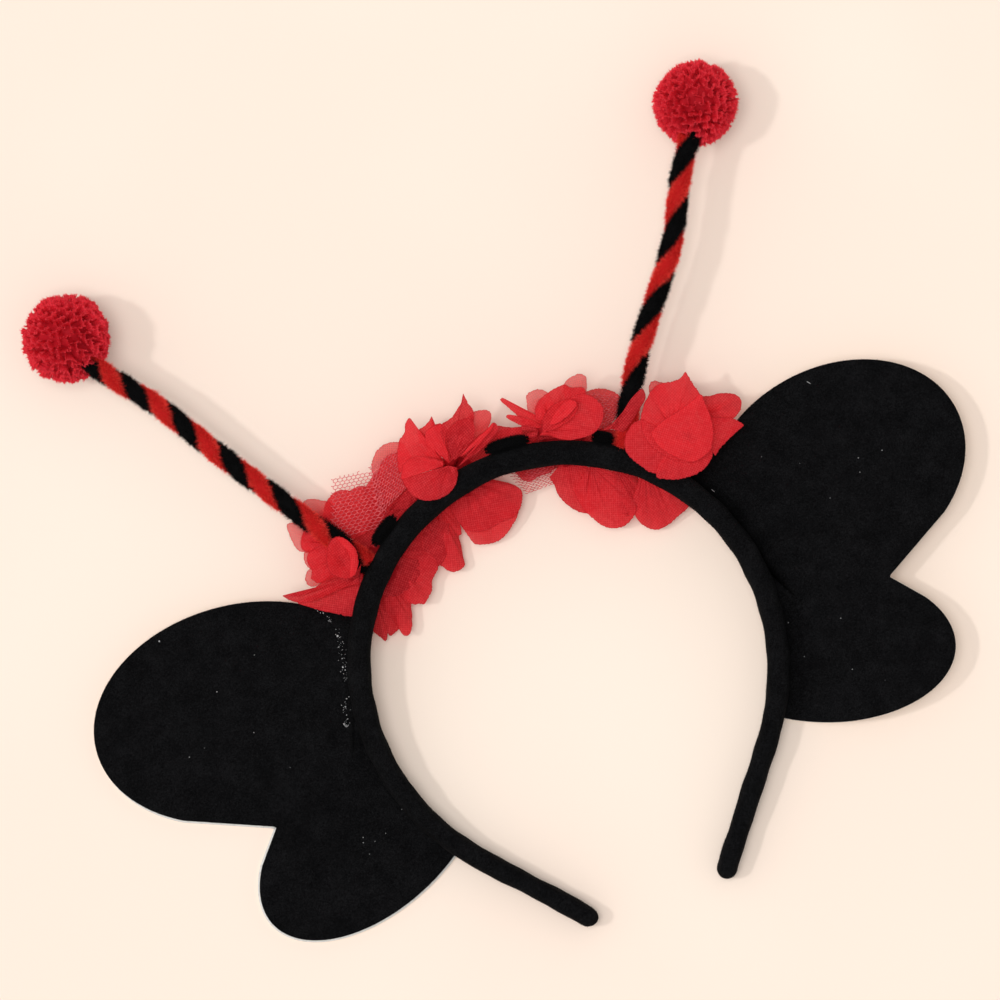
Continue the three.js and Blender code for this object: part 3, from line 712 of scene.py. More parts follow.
@dataclass
class Hoop:
    """The line and the height of the band, which everything else is fixed to."""

    crown_radius: float = 66.5
    temple_radius: float = 75.0
    thickness: float = 8.7
    tip_thickness: float = 7.1
    height: float = 10.5
    crown_rise: float = 14.0
    flat_depth: float = 0.5
    tongue: float = 4.0
    gap: float = 0.3
    turns: dict[Side, float] = field(default_factory=lambda: {Side.LEFT: 42.0, Side.RIGHT: 37.5})
    legs: dict[Side, float] = field(default_factory=lambda: {Side.LEFT: 40.5, Side.RIGHT: 45.0})

    def __post_init__(self) -> None:
        """Works out the sizes that follow from the others, and where the frame has the crown."""
        self.crown_outer = self.crown_radius + self.thickness
        self.crown_middle = self.crown_radius + self.thickness / 2
        self.temple_middle = self.temple_radius + self.thickness / 2
        self.temple_centre = self.crown_radius - self.temple_radius
        self.tip_drop = max(self._drop(side) for side in Side)
        low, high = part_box("headband")
        self.centre = np.array([(low.x + high.x) / 2, high.y - self.crown_outer * MM, 0])

    def _drop(self, side: Side) -> float:
        """How far below the crown's centre a leg ends."""
        turn = math.radians(self.turns[side])
        straight = (self.legs[side] + self.tongue) * math.cos(turn)
        return self.temple_middle * math.sin(turn) + straight

    def set_down(self, points: Array) -> Array:
        """Points in the frame's metres, from millimetres round the crown's centre."""
        return points * MM + self.centre

    def rise(self, y: Array | float) -> Array | float:
        """Height of the band's underside."""
        return (y + self.tip_drop) / (self.crown_outer + self.tip_drop) * self.crown_rise - self.flat_depth

    def on_crown(self, angle: float, out: float) -> Array:
        """A point on the crown's circle, by its angle and its distance out of the outer face."""
        return direction(angle) * (self.crown_outer + out)

    def half_width(self, side: Side, y: Array, out: float) -> Array:
        """Half width of the hoop at y, measured to a line that lies out of the inner face."""
        y = np.asarray(y, float)
        radius = self.temple_radius + out
        turn = math.radians(self.turns[side])
        drop = radius * math.sin(turn)
        crown = np.sqrt(np.maximum(0, (self.crown_radius + out) ** 2 - y**2))
        temple = self.temple_centre + np.sqrt(np.maximum(0, radius**2 - y**2))
        leg = self.temple_centre + radius * math.cos(turn) - (-y - drop) * math.tan(turn)
        return np.where(y >= 0, crown, np.where(-y <= drop, temple, leg))

    def middle_line(self, side: Side, step: float) -> Array:
        """Stations on one side from the top of the crown to the tip.

        Args:
            side: which side.
            step: distance between stations.

        Returns:
            Rows of x, y, the angle of the way out in radians, and the width's share.
        """
        turn = math.radians(self.turns[side])
        rows = []
        for a in np.linspace(math.pi / 2, 0, int(self.crown_middle * math.pi / 2 / step)):
            rows.append([self.crown_middle * math.cos(a), self.crown_middle * math.sin(a), a, 1])
        for a in np.linspace(0, -turn, int(self.temple_middle * turn / step))[1:]:
            x = self.temple_centre + self.temple_middle * math.cos(a)
            rows.append([x, self.temple_middle * math.sin(a), a, 1])
        x, y = rows[-1][:2]
        leg = self.legs[side]
        for run in np.linspace(0, leg, int(leg / step))[1:]:
            rows.append([x - run * math.sin(turn), y - run * math.cos(turn), -turn, 1])
        for end in np.sin(np.linspace(0, math.pi / 2, 8))[1:]:
            run = leg + self.tongue * end
            share = math.sqrt(max(0.02, 1 - (0.99 * end) ** 2))
            rows.append([x - run * math.sin(turn), y - run * math.cos(turn), -turn, share])
        line = np.array(rows)
        if side is Side.LEFT:
            line[:, 0] *= -1
            line[:, 2] = math.pi - line[:, 2]
        return line


HOOP = Hoop()


@dataclass
class Band:
    """The padded band, wrapped in black felt, with its nap."""

    step: float = 1.1
    sides: int = 36
    squareness: float = 3.0
    lumps: float = 0.36
    fuzz: int = 42000
    fuzz_length: float = 0.62
    seed: int = 11

    def sections(self) -> Array:
        """Rings of points along the band from the left tip to the right one."""
        left = HOOP.middle_line(Side.LEFT, self.step)[::-1]
        right = HOOP.middle_line(Side.RIGHT, self.step)[1:]
        line = np.vstack([left, right])
        x, y, a, share = line.T
        along = (y + HOOP.tip_drop) / (HOOP.crown_outer + HOOP.tip_drop)
        half = (HOOP.tip_thickness + (HOOP.thickness - HOOP.tip_thickness) * along) / 2 * share
        tall = HOOP.height / 2 * (0.35 + 0.65 * share)
        t = np.linspace(0, 2 * math.pi, self.sides, endpoint=False)
        power = 2 / self.squareness
        across = np.sign(np.cos(t)) * np.abs(np.cos(t)) ** power
        up = np.sign(np.sin(t)) * np.abs(np.sin(t)) ** power
        out = half[:, None] * across
        middle = HOOP.rise(y) + HOOP.height / 2
        rings = np.stack(
            [
                x[:, None] + out * np.cos(a)[:, None],
                y[:, None] + out * np.sin(a)[:, None],
                middle[:, None] + tall[:, None] * up,
            ],
            axis=-1,
        )
        level = np.broadcast_to(up, out.shape)
        away = np.stack([across * np.cos(a)[:, None], across * np.sin(a)[:, None], level], axis=-1)
        swell = self.lumps * wander(rings, 9, self.seed) * share[:, None]
        rings = rings - away * (0.12 - swell * 0.5)[..., None]
        rings[..., 2] = np.maximum(rings[..., 2], 0)
        return rings

    def build(self) -> None:
        """Makes the band and its nap."""
        felt = FeltFinish("band_felt").material()
        rings = self.sections()
        maker = MeshMaker()
        maker.tube(rings)
        band = settle(maker.finish("band_wrap"), felt, ["headband"])
        rng = np.random.default_rng(self.seed)
        triangles = ring_triangles(*rings.shape[:2])
        places, normals = scatter(rings.reshape(-1, 3), triangles, self.fuzz, rng)
        middle = rings.mean(axis=1)
        nap = Nap(self.fuzz_length, 0.5)
        fuzz = nap.grow("band_nap", places, outward(places, normals, middle), rng)
        settle(fuzz, black_fuzz())


def outward(places: Array, normals: Array, middle: Array) -> Array:
    """Normals turned to point away from the nearest point of a middle line."""
    near = np.array([middle[np.argmin(((middle - p) ** 2).sum(1))] for p in places[::50]])
    sign = np.sign((normals[::50] * (places[::50] - near)).sum(1)).mean()
    return normals * (1 if sign >= 0 else -1)


_SHARED: dict[str, bpy.types.Material] = {}


def shared(name: str, make: Callable[[], bpy.types.Material]) -> bpy.types.Material:
    """A material that several pieces use, made once."""
    if name not in _SHARED:
        _SHARED[name] = make()
    return _SHARED[name]


def black_fuzz() -> bpy.types.Material:
    """Loose fibres of the black felt."""
    # Painted shade at the fibres' roots and a lighter painted highlight at their tips.
    finish = PileFinish("felt_fuzz", (0.001, 0.001, 0.0012), (0.012, 0.012, 0.013), 0.0)
    return shared("felt_fuzz", finish.material)


@dataclass
class Nap:
    """Short fibres that stand or lie on a felt surface."""

    length: float
    lift: float
    width: float = 0.075

    def grow(self, name: str, places: Array, normals: Array, rng: np.random.Generator) -> bpy.types.Object:
        """Makes the fibres.

        Args:
            name: the piece's name.
            places: roots on the surface.
            normals: the surface's directions there.
            rng: random source.

        Returns:
            The piece.
        """
        sideways = unit(np.cross(normals, rng.normal(size=normals.shape)))
        lift = self.lift * rng.uniform(0.1, 1.0, (len(places), 1)) ** 1.5
        way = unit(sideways * (1 - lift) + normals * lift)
        length = self.length * rng.uniform(0.5, 1.25, (len(places), 1))
        tips = places + way * length
        tips[:, 2] = np.maximum(tips[:, 2], 0.02)
        maker = MeshMaker("tone", "tip")
        maker.fibres(places - normals * 0.05, tips, self.width, rng)
        return maker.finish(name, smooth=False)


@dataclass(frozen=True)
class Lobe:
    """An elliptical lobe of a wing. Lengths are shares of the wing's reach, angles degrees."""

    out: float
    up: float
    long: float
    short: float
    tilt: float
    start: float
    end: float

    def arc(self, reach: float, steps: int, grow: float) -> Array:
        """Points of the lobe's arc, as distances out and up from the crown's centre."""
        t = np.radians(np.linspace(self.start, self.end, steps + 1))
        u, v = (self.long * reach + grow) * np.cos(t), (self.short * reach + grow) * np.sin(t)
        c, s = direction(self.tilt)
        x = HOOP.crown_outer + self.out * reach + u * c - v * s
        return np.stack([x, self.up * reach + u * s + v * c], axis=1)

    def near_middle(self, reach: float, rng: np.random.Generator) -> Array:
        """A random place well inside the lobe, as distances out and up from the crown's centre."""
        middle = np.array([HOOP.crown_outer + self.out * reach, self.up * reach])
        return middle + rng.uniform(-0.68, 0.68, 2) * self.short * reach


@dataclass
class Wing:
    """A wing of two lobes: black felt on a thin white board."""

    side: Side
    upper: Lobe
    lower: Lobe
    notch: tuple[float, float]
    droop: float
    level: float | None
    overhang: tuple[float, float]
    root_top: float
    reach: float = 86.0
    felt: float = 1.6
    board: float = 1.0
    rings: int = 22
    fibres: int = 52000
    seed: int = 3

    def outline(self, grow: float) -> Array:
        """Closed outline in plan, the root under the band."""
        upper = self.upper.arc(self.reach, 90, grow)
        lower = self.lower.arc(self.reach, 60, grow)
        notch = np.array([HOOP.crown_outer + self.notch[0] * self.reach + grow, self.notch[1] * self.reach])
        heights = np.linspace(lower[-1, 1], self.root_top, 34)[1:]
        root = np.stack([HOOP.half_width(self.side, heights, HOOP.thickness / 2), heights], axis=1)
        points = np.vstack([upper, self._corner(upper[-1], notch, lower[0]), lower, root])
        return points

    @staticmethod
    def _corner(before: Array, corner: Array, after: Array) -> Array:
        """A slightly rounded notch between two arcs."""
        t = np.linspace(0.15, 0.85, 9)[:, None]
        start, end = corner + (before - corner) * 0.05, corner + (after - corner) * 0.05
        straight_in = before + (start - before) * np.linspace(0.2, 1, 5)[:, None]
        straight_out = end + (after - end) * np.linspace(0, 0.8, 5)[:, None]
        bend = (1 - t) ** 2 * start + 2 * t * (1 - t) * corner + t**2 * end
        return np.vstack([straight_in, bend, straight_out])

    def top(self, out: Array, y: Array) -> Array:
        """Height of the felt's upper face."""
        beyond = np.maximum(0, out - HOOP.half_width(self.side, y, HOOP.thickness)) / self.reach
        under = HOOP.rise(y) - HOOP.gap
        lowest = self.felt + HOOP.gap + self.board
        if self.level is None:
            height = under - self.droop * beyond
        else:
            eased = smoothstep(0, 0.35, beyond)
            height = under + (self.level - under) * eased
        sway = 0.22 * wander(np.stack([out, y, y * 0], -1), 40, self.seed) * smoothstep(0, 0.2, beyond)
        return np.maximum(lowest, height + sway)

    def layer(self, depth: float, thickness: float, grow: Array | float, round_off: float) -> Array:
        """Rings of points over a layer's top, round its rim and back under it.

        Args:
            depth: how far the layer's upper face lies under the felt's.
            thickness: the layer's own thickness.
            grow: how far it reaches past the felt's outline.
            round_off: radius of the rim's rounding.

        Returns:
            A grid, a row for each ring.
        """
        outline = self.outline(0)
        hub = np.array([HOOP.crown_outer + self.reach * 0.06, -self.reach * 0.08])
        edge = np.roll(outline, -1, axis=0) - np.roll(outline, 1, axis=0)
        away = unit(np.stack([edge[:, 1], -edge[:, 0]], axis=1))
        away *= np.sign((away * (outline - hub)).sum(1).mean())
        outline = outline + away * np.broadcast_to(grow, len(outline))[:, None]
        shares = list(np.linspace(0.02, 1, self.rings))
        inner = [(share, round_off, 0.0) for share in shares]
        bend = np.linspace(0, math.pi, 7)[1:-1]
        rim = [(1.0, round_off * (1 - math.sin(b)), thickness * (1 - math.cos(b)) / 2) for b in bend]
        under = [(share, round_off, thickness) for share in shares[::-1]]
        rows = []
        for share, inset, down in inner + rim + under:
            plan = hub + (outline - away * inset - hub) * share
            z = self.top(plan[:, 0], plan[:, 1]) - depth - down
            rows.append(np.stack([self.side.value * plan[:, 0], plan[:, 1], z], axis=1))
        return np.array(rows)

    def build(self) -> None:
        """Makes the felt, the board and the felt's nap."""
        word = self.side.word
        felt = shared("wing_felt", FeltFinish("wing_felt").material)
        paper = shared("wing_board", BoardFinish("wing_board").material)
        rings = self.layer(0, self.felt, 0, 0.35)
        maker = MeshMaker()
        maker.tube(rings)
        piece = settle(maker.finish(f"wing_{word}_cloth"), felt, [f"wing_{word}_felt"])
        plan = self.outline(0)
        low, high = self.overhang
        grow = np.where(plan[:, 1] < self.notch[1] * self.reach + 28, low, high)
        grow = np.convolve(np.pad(grow, 8, mode="wrap"), np.ones(17) / 17, mode="valid")
        backing = MeshMaker()
        backing.tube(self.layer(self.felt + HOOP.gap / 2, self.board + HOOP.gap / 2, grow, 0.08))
        settle(backing.finish(f"wing_{word}_backing"), paper, [f"wing_{word}_board"])
        self._nap(rings)

    def _nap(self, rings: Array) -> None:
        """Fibres on the felt's upper face and rim."""
        rng = np.random.default_rng(self.seed)
        upper = rings[: self.rings + 4]
        triangles = ring_triangles(*upper.shape[:2])
        places, normals = scatter(upper.reshape(-1, 3), triangles, self.fibres, rng)
        if normals[:, 2].mean() < 0:
            normals = -normals
        fuzz = Nap(0.75, 0.34).grow(f"wing_{self.side.word}_nap", places, normals, rng)
        settle(fuzz, black_fuzz())


@dataclass
class Strand:
    """One chenille strand of a twisted antenna."""

    name: str
    finish: PileFinish
    slot: Slot
    start: float


# Both piles run from a painted-shade root colour to a lighter painted-highlight tip colour.
BLACK_PILE = PileFinish("black_pile", (0.0008, 0.0008, 0.001), (0.006, 0.006, 0.0065), 0.08)
RED_PILE = PileFinish("red_pile", (0.6, 0.013, 0.013), (1.0, 0.085, 0.065), 0.12, 0.3)


@dataclass
class Antenna:
    """A rope of a black and a red chenille strand, and the pompom at its end."""

    side: Side
    angle: float
    heading: float
    length: float
    pitch: float
    tighten: float
    start: float
    sway: Sequence[tuple[float, float]]
    pompom: "Pompom"
    thickness: float = 4.1
    width: float = 6.2
    end_height: float = 22.0
    fibres: int = 36000
    tufts: int = 5200
    seed: int = 5

    def line(self, steps: int) -> Array:
        """The rope's middle line, from the band's outer face to the pompom."""
        root = HOOP.on_crown(self.angle, -HOOP.gap)
        ahead = direction(self.heading)
        left = np.array([-ahead[1], ahead[0]])
        low = HOOP.rise(root[1]) + HOOP.height / 2
        rows = []
        for share, aside in [(0, 0), *self.sway, (1, 0)]:
            place = root + ahead * share * self.length + left * aside * self.length
            rows.append([*place, low + (self.end_height - low) * share])
        return smooth_curve(np.array(rows), steps)

    def wind(self, start: float, steps: int) -> tuple[Array, Array, Array]:
        """A strand's middle line with its two cross directions.

        Args:
            start: the first turn's share.
            steps: stations along the rope.

        Returns:
            Centres, the ways out of the rope, and the flat ways across.
        """
        line = self.line(steps)
        t = np.linspace(0, 1, steps + 1)[:, None]
        ahead, up, aside = cross_directions(line)
        helix = self.thickness / 2 + HOOP.gap
        rope = helix + self.thickness / 2
        first = self.pitch * rope
        turn = 2 * math.pi * (self.start + start + t * self.length / first + self.tighten * t**2)
        out = up * np.cos(turn) + aside * np.sin(turn)
        round_it = np.cross(ahead, out)
        slope = 2 * math.pi * helix * (1 / first + 2 * self.tighten * t / self.length)
        flat = unit(round_it - ahead * slope)
        return line + out * (helix - 0.5), out, flat

    def strand(self, strand: Strand, seed: int) -> bpy.types.Object:
        """A strand: a dense core and its pile in close rows."""
        rng = np.random.default_rng(seed)
        steps = int(self.length / 0.55)
        centres, out, flat = self.wind(strand.start, steps)
        t = np.linspace(0, 2 * math.pi, 12, endpoint=False)
        thick, wide = self.thickness / 2, self.width / 2
        rings = (
            centres[:, None]
            + out[:, None] * (0.72 * thick * np.cos(t))[None, :, None]
            + flat[:, None] * (0.76 * wide * np.sin(t))[None, :, None]
        )
        maker = MeshMaker("tone", "tip")
        # The core takes the pile's root colour: a dark body that paints shade inside the strand.
        maker.tube(rings, tone=0.15, tip=0.0)
        tuft = rng.integers(0, self.tufts, self.fibres)
        row = rng.uniform(0, len(centres), self.tufts)[tuft]
        place = np.clip(row + rng.normal(0, 0.5, self.fibres), 0, len(centres) - 1.001)
        low, part = place.astype(int), (place % 1)[:, None]
        at = centres[low] * (1 - part) + centres[low + 1] * part
        a = rng.uniform(0, 2 * math.pi, self.tufts)[tuft][:, None] + rng.normal(0, 0.2, (self.fibres, 1))
        away = out[low] * thick * np.cos(a) + flat[low] * wide * np.sin(a)
        ahead = unit(np.cross(out[low], flat[low]))
        lean = rng.normal(0, 0.45, self.tufts)[tuft][:, None]
        tall = rng.normal(0, 0.07, self.tufts)[tuft][:, None]
        reach = (rng.normal(1.07, 0.15, (self.fibres, 1)) + tall).clip(0.7, 1.55)
        roots = at + away * 0.5
        tips = at + away * reach + ahead * (lean + rng.normal(0, 0.2, (self.fibres, 1)))
        tips += rng.normal(0, 0.14, tips.shape)
        maker.fibres(roots, tips, 0.19, rng)
        return maker.finish(f"antenna_{self.side.word}_{strand.name}", smooth=False)

    def build(self) -> None:
        """Makes both strands and the pompom."""
        for i, strand in enumerate(
            (
                Strand("black", BLACK_PILE, Slot.BLACK_PILE, 0),
                Strand("red", RED_PILE, Slot.RED_PILE, 0.5),
            )
        ):
            piece = self.strand(strand, self.seed + i)
            material = shared(strand.finish.name, strand.finish.material)
            settle(piece, material, [f"stem_{self.side.word}_{strand.name}"])
        self.pompom.build(self.line(60))


@dataclass
class Pompom:
    """A pompom of knitted mesh, gathered so that its ruffles' edges cover a ball."""

    side: Side
    radius: float
    height: float = 17.0
    inside: float = 3.0
    nudge: tuple[float, float] = (0.0, 0.0)
    turns: float = 8.8
    wave: float = 3.5
    swing: float = 2.0
    axis: tuple[float, float, float] = (0.3, -0.4, 1.0)
    inner: float = 0.28
    heart: float = 0.7
    rows: int = 6
    seed: int = 21

    def path(self, scale: float, swing: float, rng_seed: int) -> Array:
        """A meandering spiral over a ball, in the ball's own frame."""
        rng = np.random.default_rng(rng_seed)
        count = 3600
        t = np.linspace(0, 1, count)
        polar = math.pi * (0.03 + 0.94 * t)
        weight = np.sin(polar)
        run = np.concatenate([[0], np.cumsum(weight[:-1])])
        around = 2 * math.pi * self.turns * t
        length = 2 * math.pi * self.turns * self.radius * 0.64
        phase = run / run[-1] * length / self.wave * 2 * math.pi
        drift = np.cumsum(rng.normal(0, 1, count))
        drift = np.convolve(np.pad(drift, 60, mode="edge"), np.ones(121) / 121, mode="valid")
        phase = phase + drift * 0.16
        slow, slower = np.sin(phase * 0.37 + rng.uniform(0, 6)), np.sin(phase * 0.13 + rng.uniform(0, 6))
        uneven = 1 + 0.45 * slow * slower
        lean = swing * uneven * np.sin(phase) / self.radius
        along = 0.55 * swing * np.sin(2 * phase + 0.6) / self.radius
        polar2 = polar + lean
        around2 = around + along / np.maximum(np.sin(polar), 0.25)
        ball = np.stack(
            [np.sin(polar2) * np.cos(around2), np.sin(polar2) * np.sin(around2), np.cos(polar2)], axis=1
        )
        return ball * self.radius * scale

    def build(self, line: Array) -> None:
        """Makes the pompom past the end of its antenna's line."""
        ahead = unit(line[-1] - line[-2])
        centre = line[-1] + ahead * (self.radius - self.inside)
        centre[2] = self.height
        centre[:2] += self.nudge
        rng = np.random.default_rng(self.seed)
        shares = np.linspace(self.inner, 1.0, self.rows)
        grid = []
        for share in shares:
            swing = self.swing * (0.25 + 0.75 * share**1.5)
            grid.append(self.path(share, swing, self.seed))
        grid = np.array(grid)
        count = grid.shape[1]
        teeth = np.where(np.arange(count) % 2 == 0, 0.0, 0.42) + rng.uniform(-0.16, 0.16, count)
        lift = 0.5 * wander(grid[-1], 6, self.seed)
        grid[-1] = unit(grid[-1]) * (self.radius - 0.35 + teeth + lift)[:, None]
        rotation = Vector((0, 0, 1)).rotation_difference(Vector(self.axis)).to_matrix()
        grid = grid @ np.array(rotation).T
        grid[..., 2] = np.maximum(grid[..., 2], 0.15 - self.height)
        grid += centre
        step = np.linalg.norm(np.diff(grid[-1], axis=0), axis=1)
        run = np.concatenate([[0], np.cumsum(step)])
        depth = np.broadcast_to(shares[:, None], grid.shape[:2])
        weave = np.stack(np.broadcast_arrays(run[None], shares[:, None] * self.radius), axis=-1)
        maker = MeshMaker("depth")
        # depth sets the mesh's painted shade, dark in the inner rows and light at the edge.
        maker.grid(grid, weave, depth=(depth - self.inner) / (1 - self.inner))
        self._heart(maker, centre)
        self._fringe(maker, grid[-1], centre, rng)
        word = self.side.word
        material = shared("pompom_mesh", GatherFinish("pompom_mesh").material)
        ruffles = maker.finish(f"pompom_{word}_ruffles")
        piece = settle(ruffles, material, [f"pompom_{word}"])

    def _heart(self, maker: MeshMaker, centre: Array) -> None:
        """Adds the crumpled middle that the ruffles are gathered on."""
        polar = np.linspace(0.02, math.pi - 0.02, 24)
        around = np.linspace(0, 2 * math.pi, 40, endpoint=False)
        up, ring = np.cos(polar)[:, None], np.sin(polar)[:, None]
        ball = np.stack(np.broadcast_arrays(ring * np.cos(around), ring * np.sin(around), up), axis=-1)
        swell = 1 + 0.1 * wander(ball * 10, 5, self.seed)[..., None]
        # depth 0.25 paints the middle dark, as shade inside the ball.
        maker.tube(centre + ball * self.radius * self.heart * swell, depth=0.25)

    def _fringe(self, maker: MeshMaker, edge: Array, centre: Array, rng: np.random.Generator) -> None:
        """Adds the cut loops that stand out of the ruffles' edge."""
        chosen = np.repeat(edge, 3, axis=0)
        way = unit(unit(chosen - centre) + 0.55 * rng.normal(size=chosen.shape))
        length = rng.uniform(0.25, 0.85, (len(chosen), 1))
        tips = chosen + way * length
        tips[:, 2] = np.maximum(tips[:, 2], 0.1)
        # depth 1.0 gives the loops the painted highlight of the ruffles' edge.
        maker.fibres(chosen - way * 0.3, tips, 0.24, rng, depth=1.0)


@dataclass(frozen=True)
class Petal:
    """A cut petal, drawn in plan from its root to the points of its rim, in millimetres.

    Plans start 10 mm below the crown's centre. The heights are those of the root and of even
    places along the rim. An arch lifts the middle and a crease (place along the rim from 0 to 1,
    depth) presses a groove into it. The tone is painted shade: how far the petal's colour is
    darkened towards the cloth's shadow colour.
    """

    root: tuple[float, float]
    rim: Sequence[tuple[float, float]]
    heights: Sequence[float]
    arch: float = 0.8
    ruffle: float = 0.5
    waves: float = 2.0
    sheer: float = 0.06
    tone: float = 0.35
    grain: float = 25.0
    creases: Sequence[tuple[float, float]] = ()
    pleats: float = 0.12


@dataclass
class Flower:
    """A cloth flower: a gathered middle under the band, and its petals."""

    name: str
    angle: float
    core: tuple[float, float]
    bud: tuple[float, float]
    petals: Sequence[Petal]
    bloom: float = 20.0
    rows: int = 18
    step: float = 0.42
    plan_drop: float = 10.0
    fray: float = 0.09
    seed: int = 31

    def level(self, level: float) -> float:
        """Height of a level at the seat: 0 the floor, 1 the band's underside, 2 its top."""
        under = float(HOOP.rise(self.seat[1]))
        return under * level if level < 1 else under + HOOP.height * (level - 1)

    @property
    def seat(self) -> Array:
        """The flower's place on the band's outer face."""
        return HOOP.on_crown(self.angle, 0)

    def petal(self, maker: MeshMaker, petal: Petal, seed: int) -> None:
        """Adds a petal, its ruffles drawn at random from a seed."""
        rng = np.random.default_rng(seed)
        drop = np.array([0, self.plan_drop])
        root = np.array(petal.root, float) - drop
        given = np.array(petal.rim, float) - drop
        run = np.linalg.norm(np.diff(given, axis=0), axis=1).sum()
        rim = smooth_curve(given, max(24, int(run / self.step)))
        place = np.linspace(0, 1, len(rim))[None, :]
        out = rim - root
        reach = np.linalg.norm(out, axis=1)
        rim = rim + out / reach[:, None] * rng.normal(0, self.fray, (len(rim), 1))
        u = np.sin(np.linspace(0.002, 1, self.rows) * math.pi / 2)[:, None]
        plan = root + (rim - root)[None] * u[..., None]
        at_rim = np.interp(place[0], np.linspace(0, 1, len(petal.heights) - 1), petal.heights[1:])
        height = petal.heights[0] + (at_rim[None] - petal.heights[0]) * u
        height = height + petal.arch * np.sin(math.pi * u**1.2)
        phase = rng.uniform(0, 2 * math.pi, 4)
        swing = np.sin(2 * math.pi * petal.waves * place + phase[0])
        swing = swing + 0.5 * np.sin(2 * math.pi * petal.waves * 2.3 * place + phase[1])
        height = height + petal.ruffle * 0.6 * swing * u**2
        gathers = np.sin(2 * math.pi * 7 * place + phase[2]) + np.sin(2 * math.pi * 11 * place + phase[3])
        height = height + petal.pleats * gathers * np.sin(math.pi * u) * (1 - u)
        for where, depth in petal.creases:
            height = height - depth * np.exp(-(((place - where) / 0.045) ** 2)) * np.sin(math.pi * u**0.8)
        grid = np.concatenate([plan, np.maximum(height, 0.12)[..., None]], axis=-1)
        edge = (1 - u) * reach[None]
        c, s = direction(petal.grain)
        x, y = plan[..., 0], plan[..., 1]
        weave = np.stack([x * c + y * s, y * c - x * s], axis=-1)
        # Painted shade: the petal's tone, darkened further towards its gathered root.
        painted_petal_shade = np.clip(petal.tone + 0.25 * (1 - smoothstep(0, 0.45, u)), 0, 1)
        shade = np.broadcast_to(painted_petal_shade, height.shape)
        sheer = petal.sheer * smoothstep(0.25, 0.75, u) + 0 * place
        maker.grid(grid, weave, edge=edge, sheer=sheer, tone=shade)

    def middle(self, maker: MeshMaker) -> None:
        """Adds the gathered middle under the band and the bud beside it."""
        top = self.level(1) - HOOP.gap
        width = self.bloom * 0.44
        profile = [(0.5, 0.02), (0.75, 0.02), (0.9, 0.2), (0.96, 0.4), (0.88, 0.7), (0.78, 1.0)]
        centre = self.seat + np.array(self.core) * self.bloom
        self._lathe(maker, centre, [(r * width, max(z * top, 0.02)) for r, z in profile])
        low, high = self.level(0.3), self.level(1.7)
        centre = self.seat + np.array(self.bud) * self.bloom
        stalk = self.bloom * 0.13
        profile = [(0.9, low), (1.0, (low + high) / 2), (0.85, high * 0.93), (0.5, high)]
        self._lathe(maker, centre, [(r * stalk, z) for r, z in profile])

    @staticmethod
    def _lathe(maker: MeshMaker, centre: Array, profile: Sequence[tuple[float, float]]) -> None:
        """Adds a gathered round form about a centre."""
        t = np.linspace(0, 2 * math.pi, 60, endpoint=False)
        gathers = 1 + 0.05 * np.sin(13 * t) + 0.03 * np.sin(29 * t + 1)
        rings = []
        for radius, z in profile:
            ring = np.stack([np.cos(t), np.sin(t)], 1) * (radius * gathers)[:, None] + centre
            rings.append(np.concatenate([ring, np.full((len(t), 1), z)], axis=1))
        # tone 0.9 paints the gathered forms dark: painted shade under the band and petals.
        maker.tube(np.array(rings), edge=5.0, sheer=0.0, tone=0.9)

    def build(self) -> None:
        """Makes the flower as one piece."""
        maker = MeshMaker("edge", "sheer", "tone")
        for i, petal in enumerate(self.petals):
            self.petal(maker, petal, self.seed + i)
        self.middle(maker)
        material = shared("chiffon", ChiffonFinish("chiffon").material)
        piece = settle(maker.finish(f"{self.name}_petals"), material, [self.name])
        width = self.bloom * 1.6
        maker.area() / width * MM


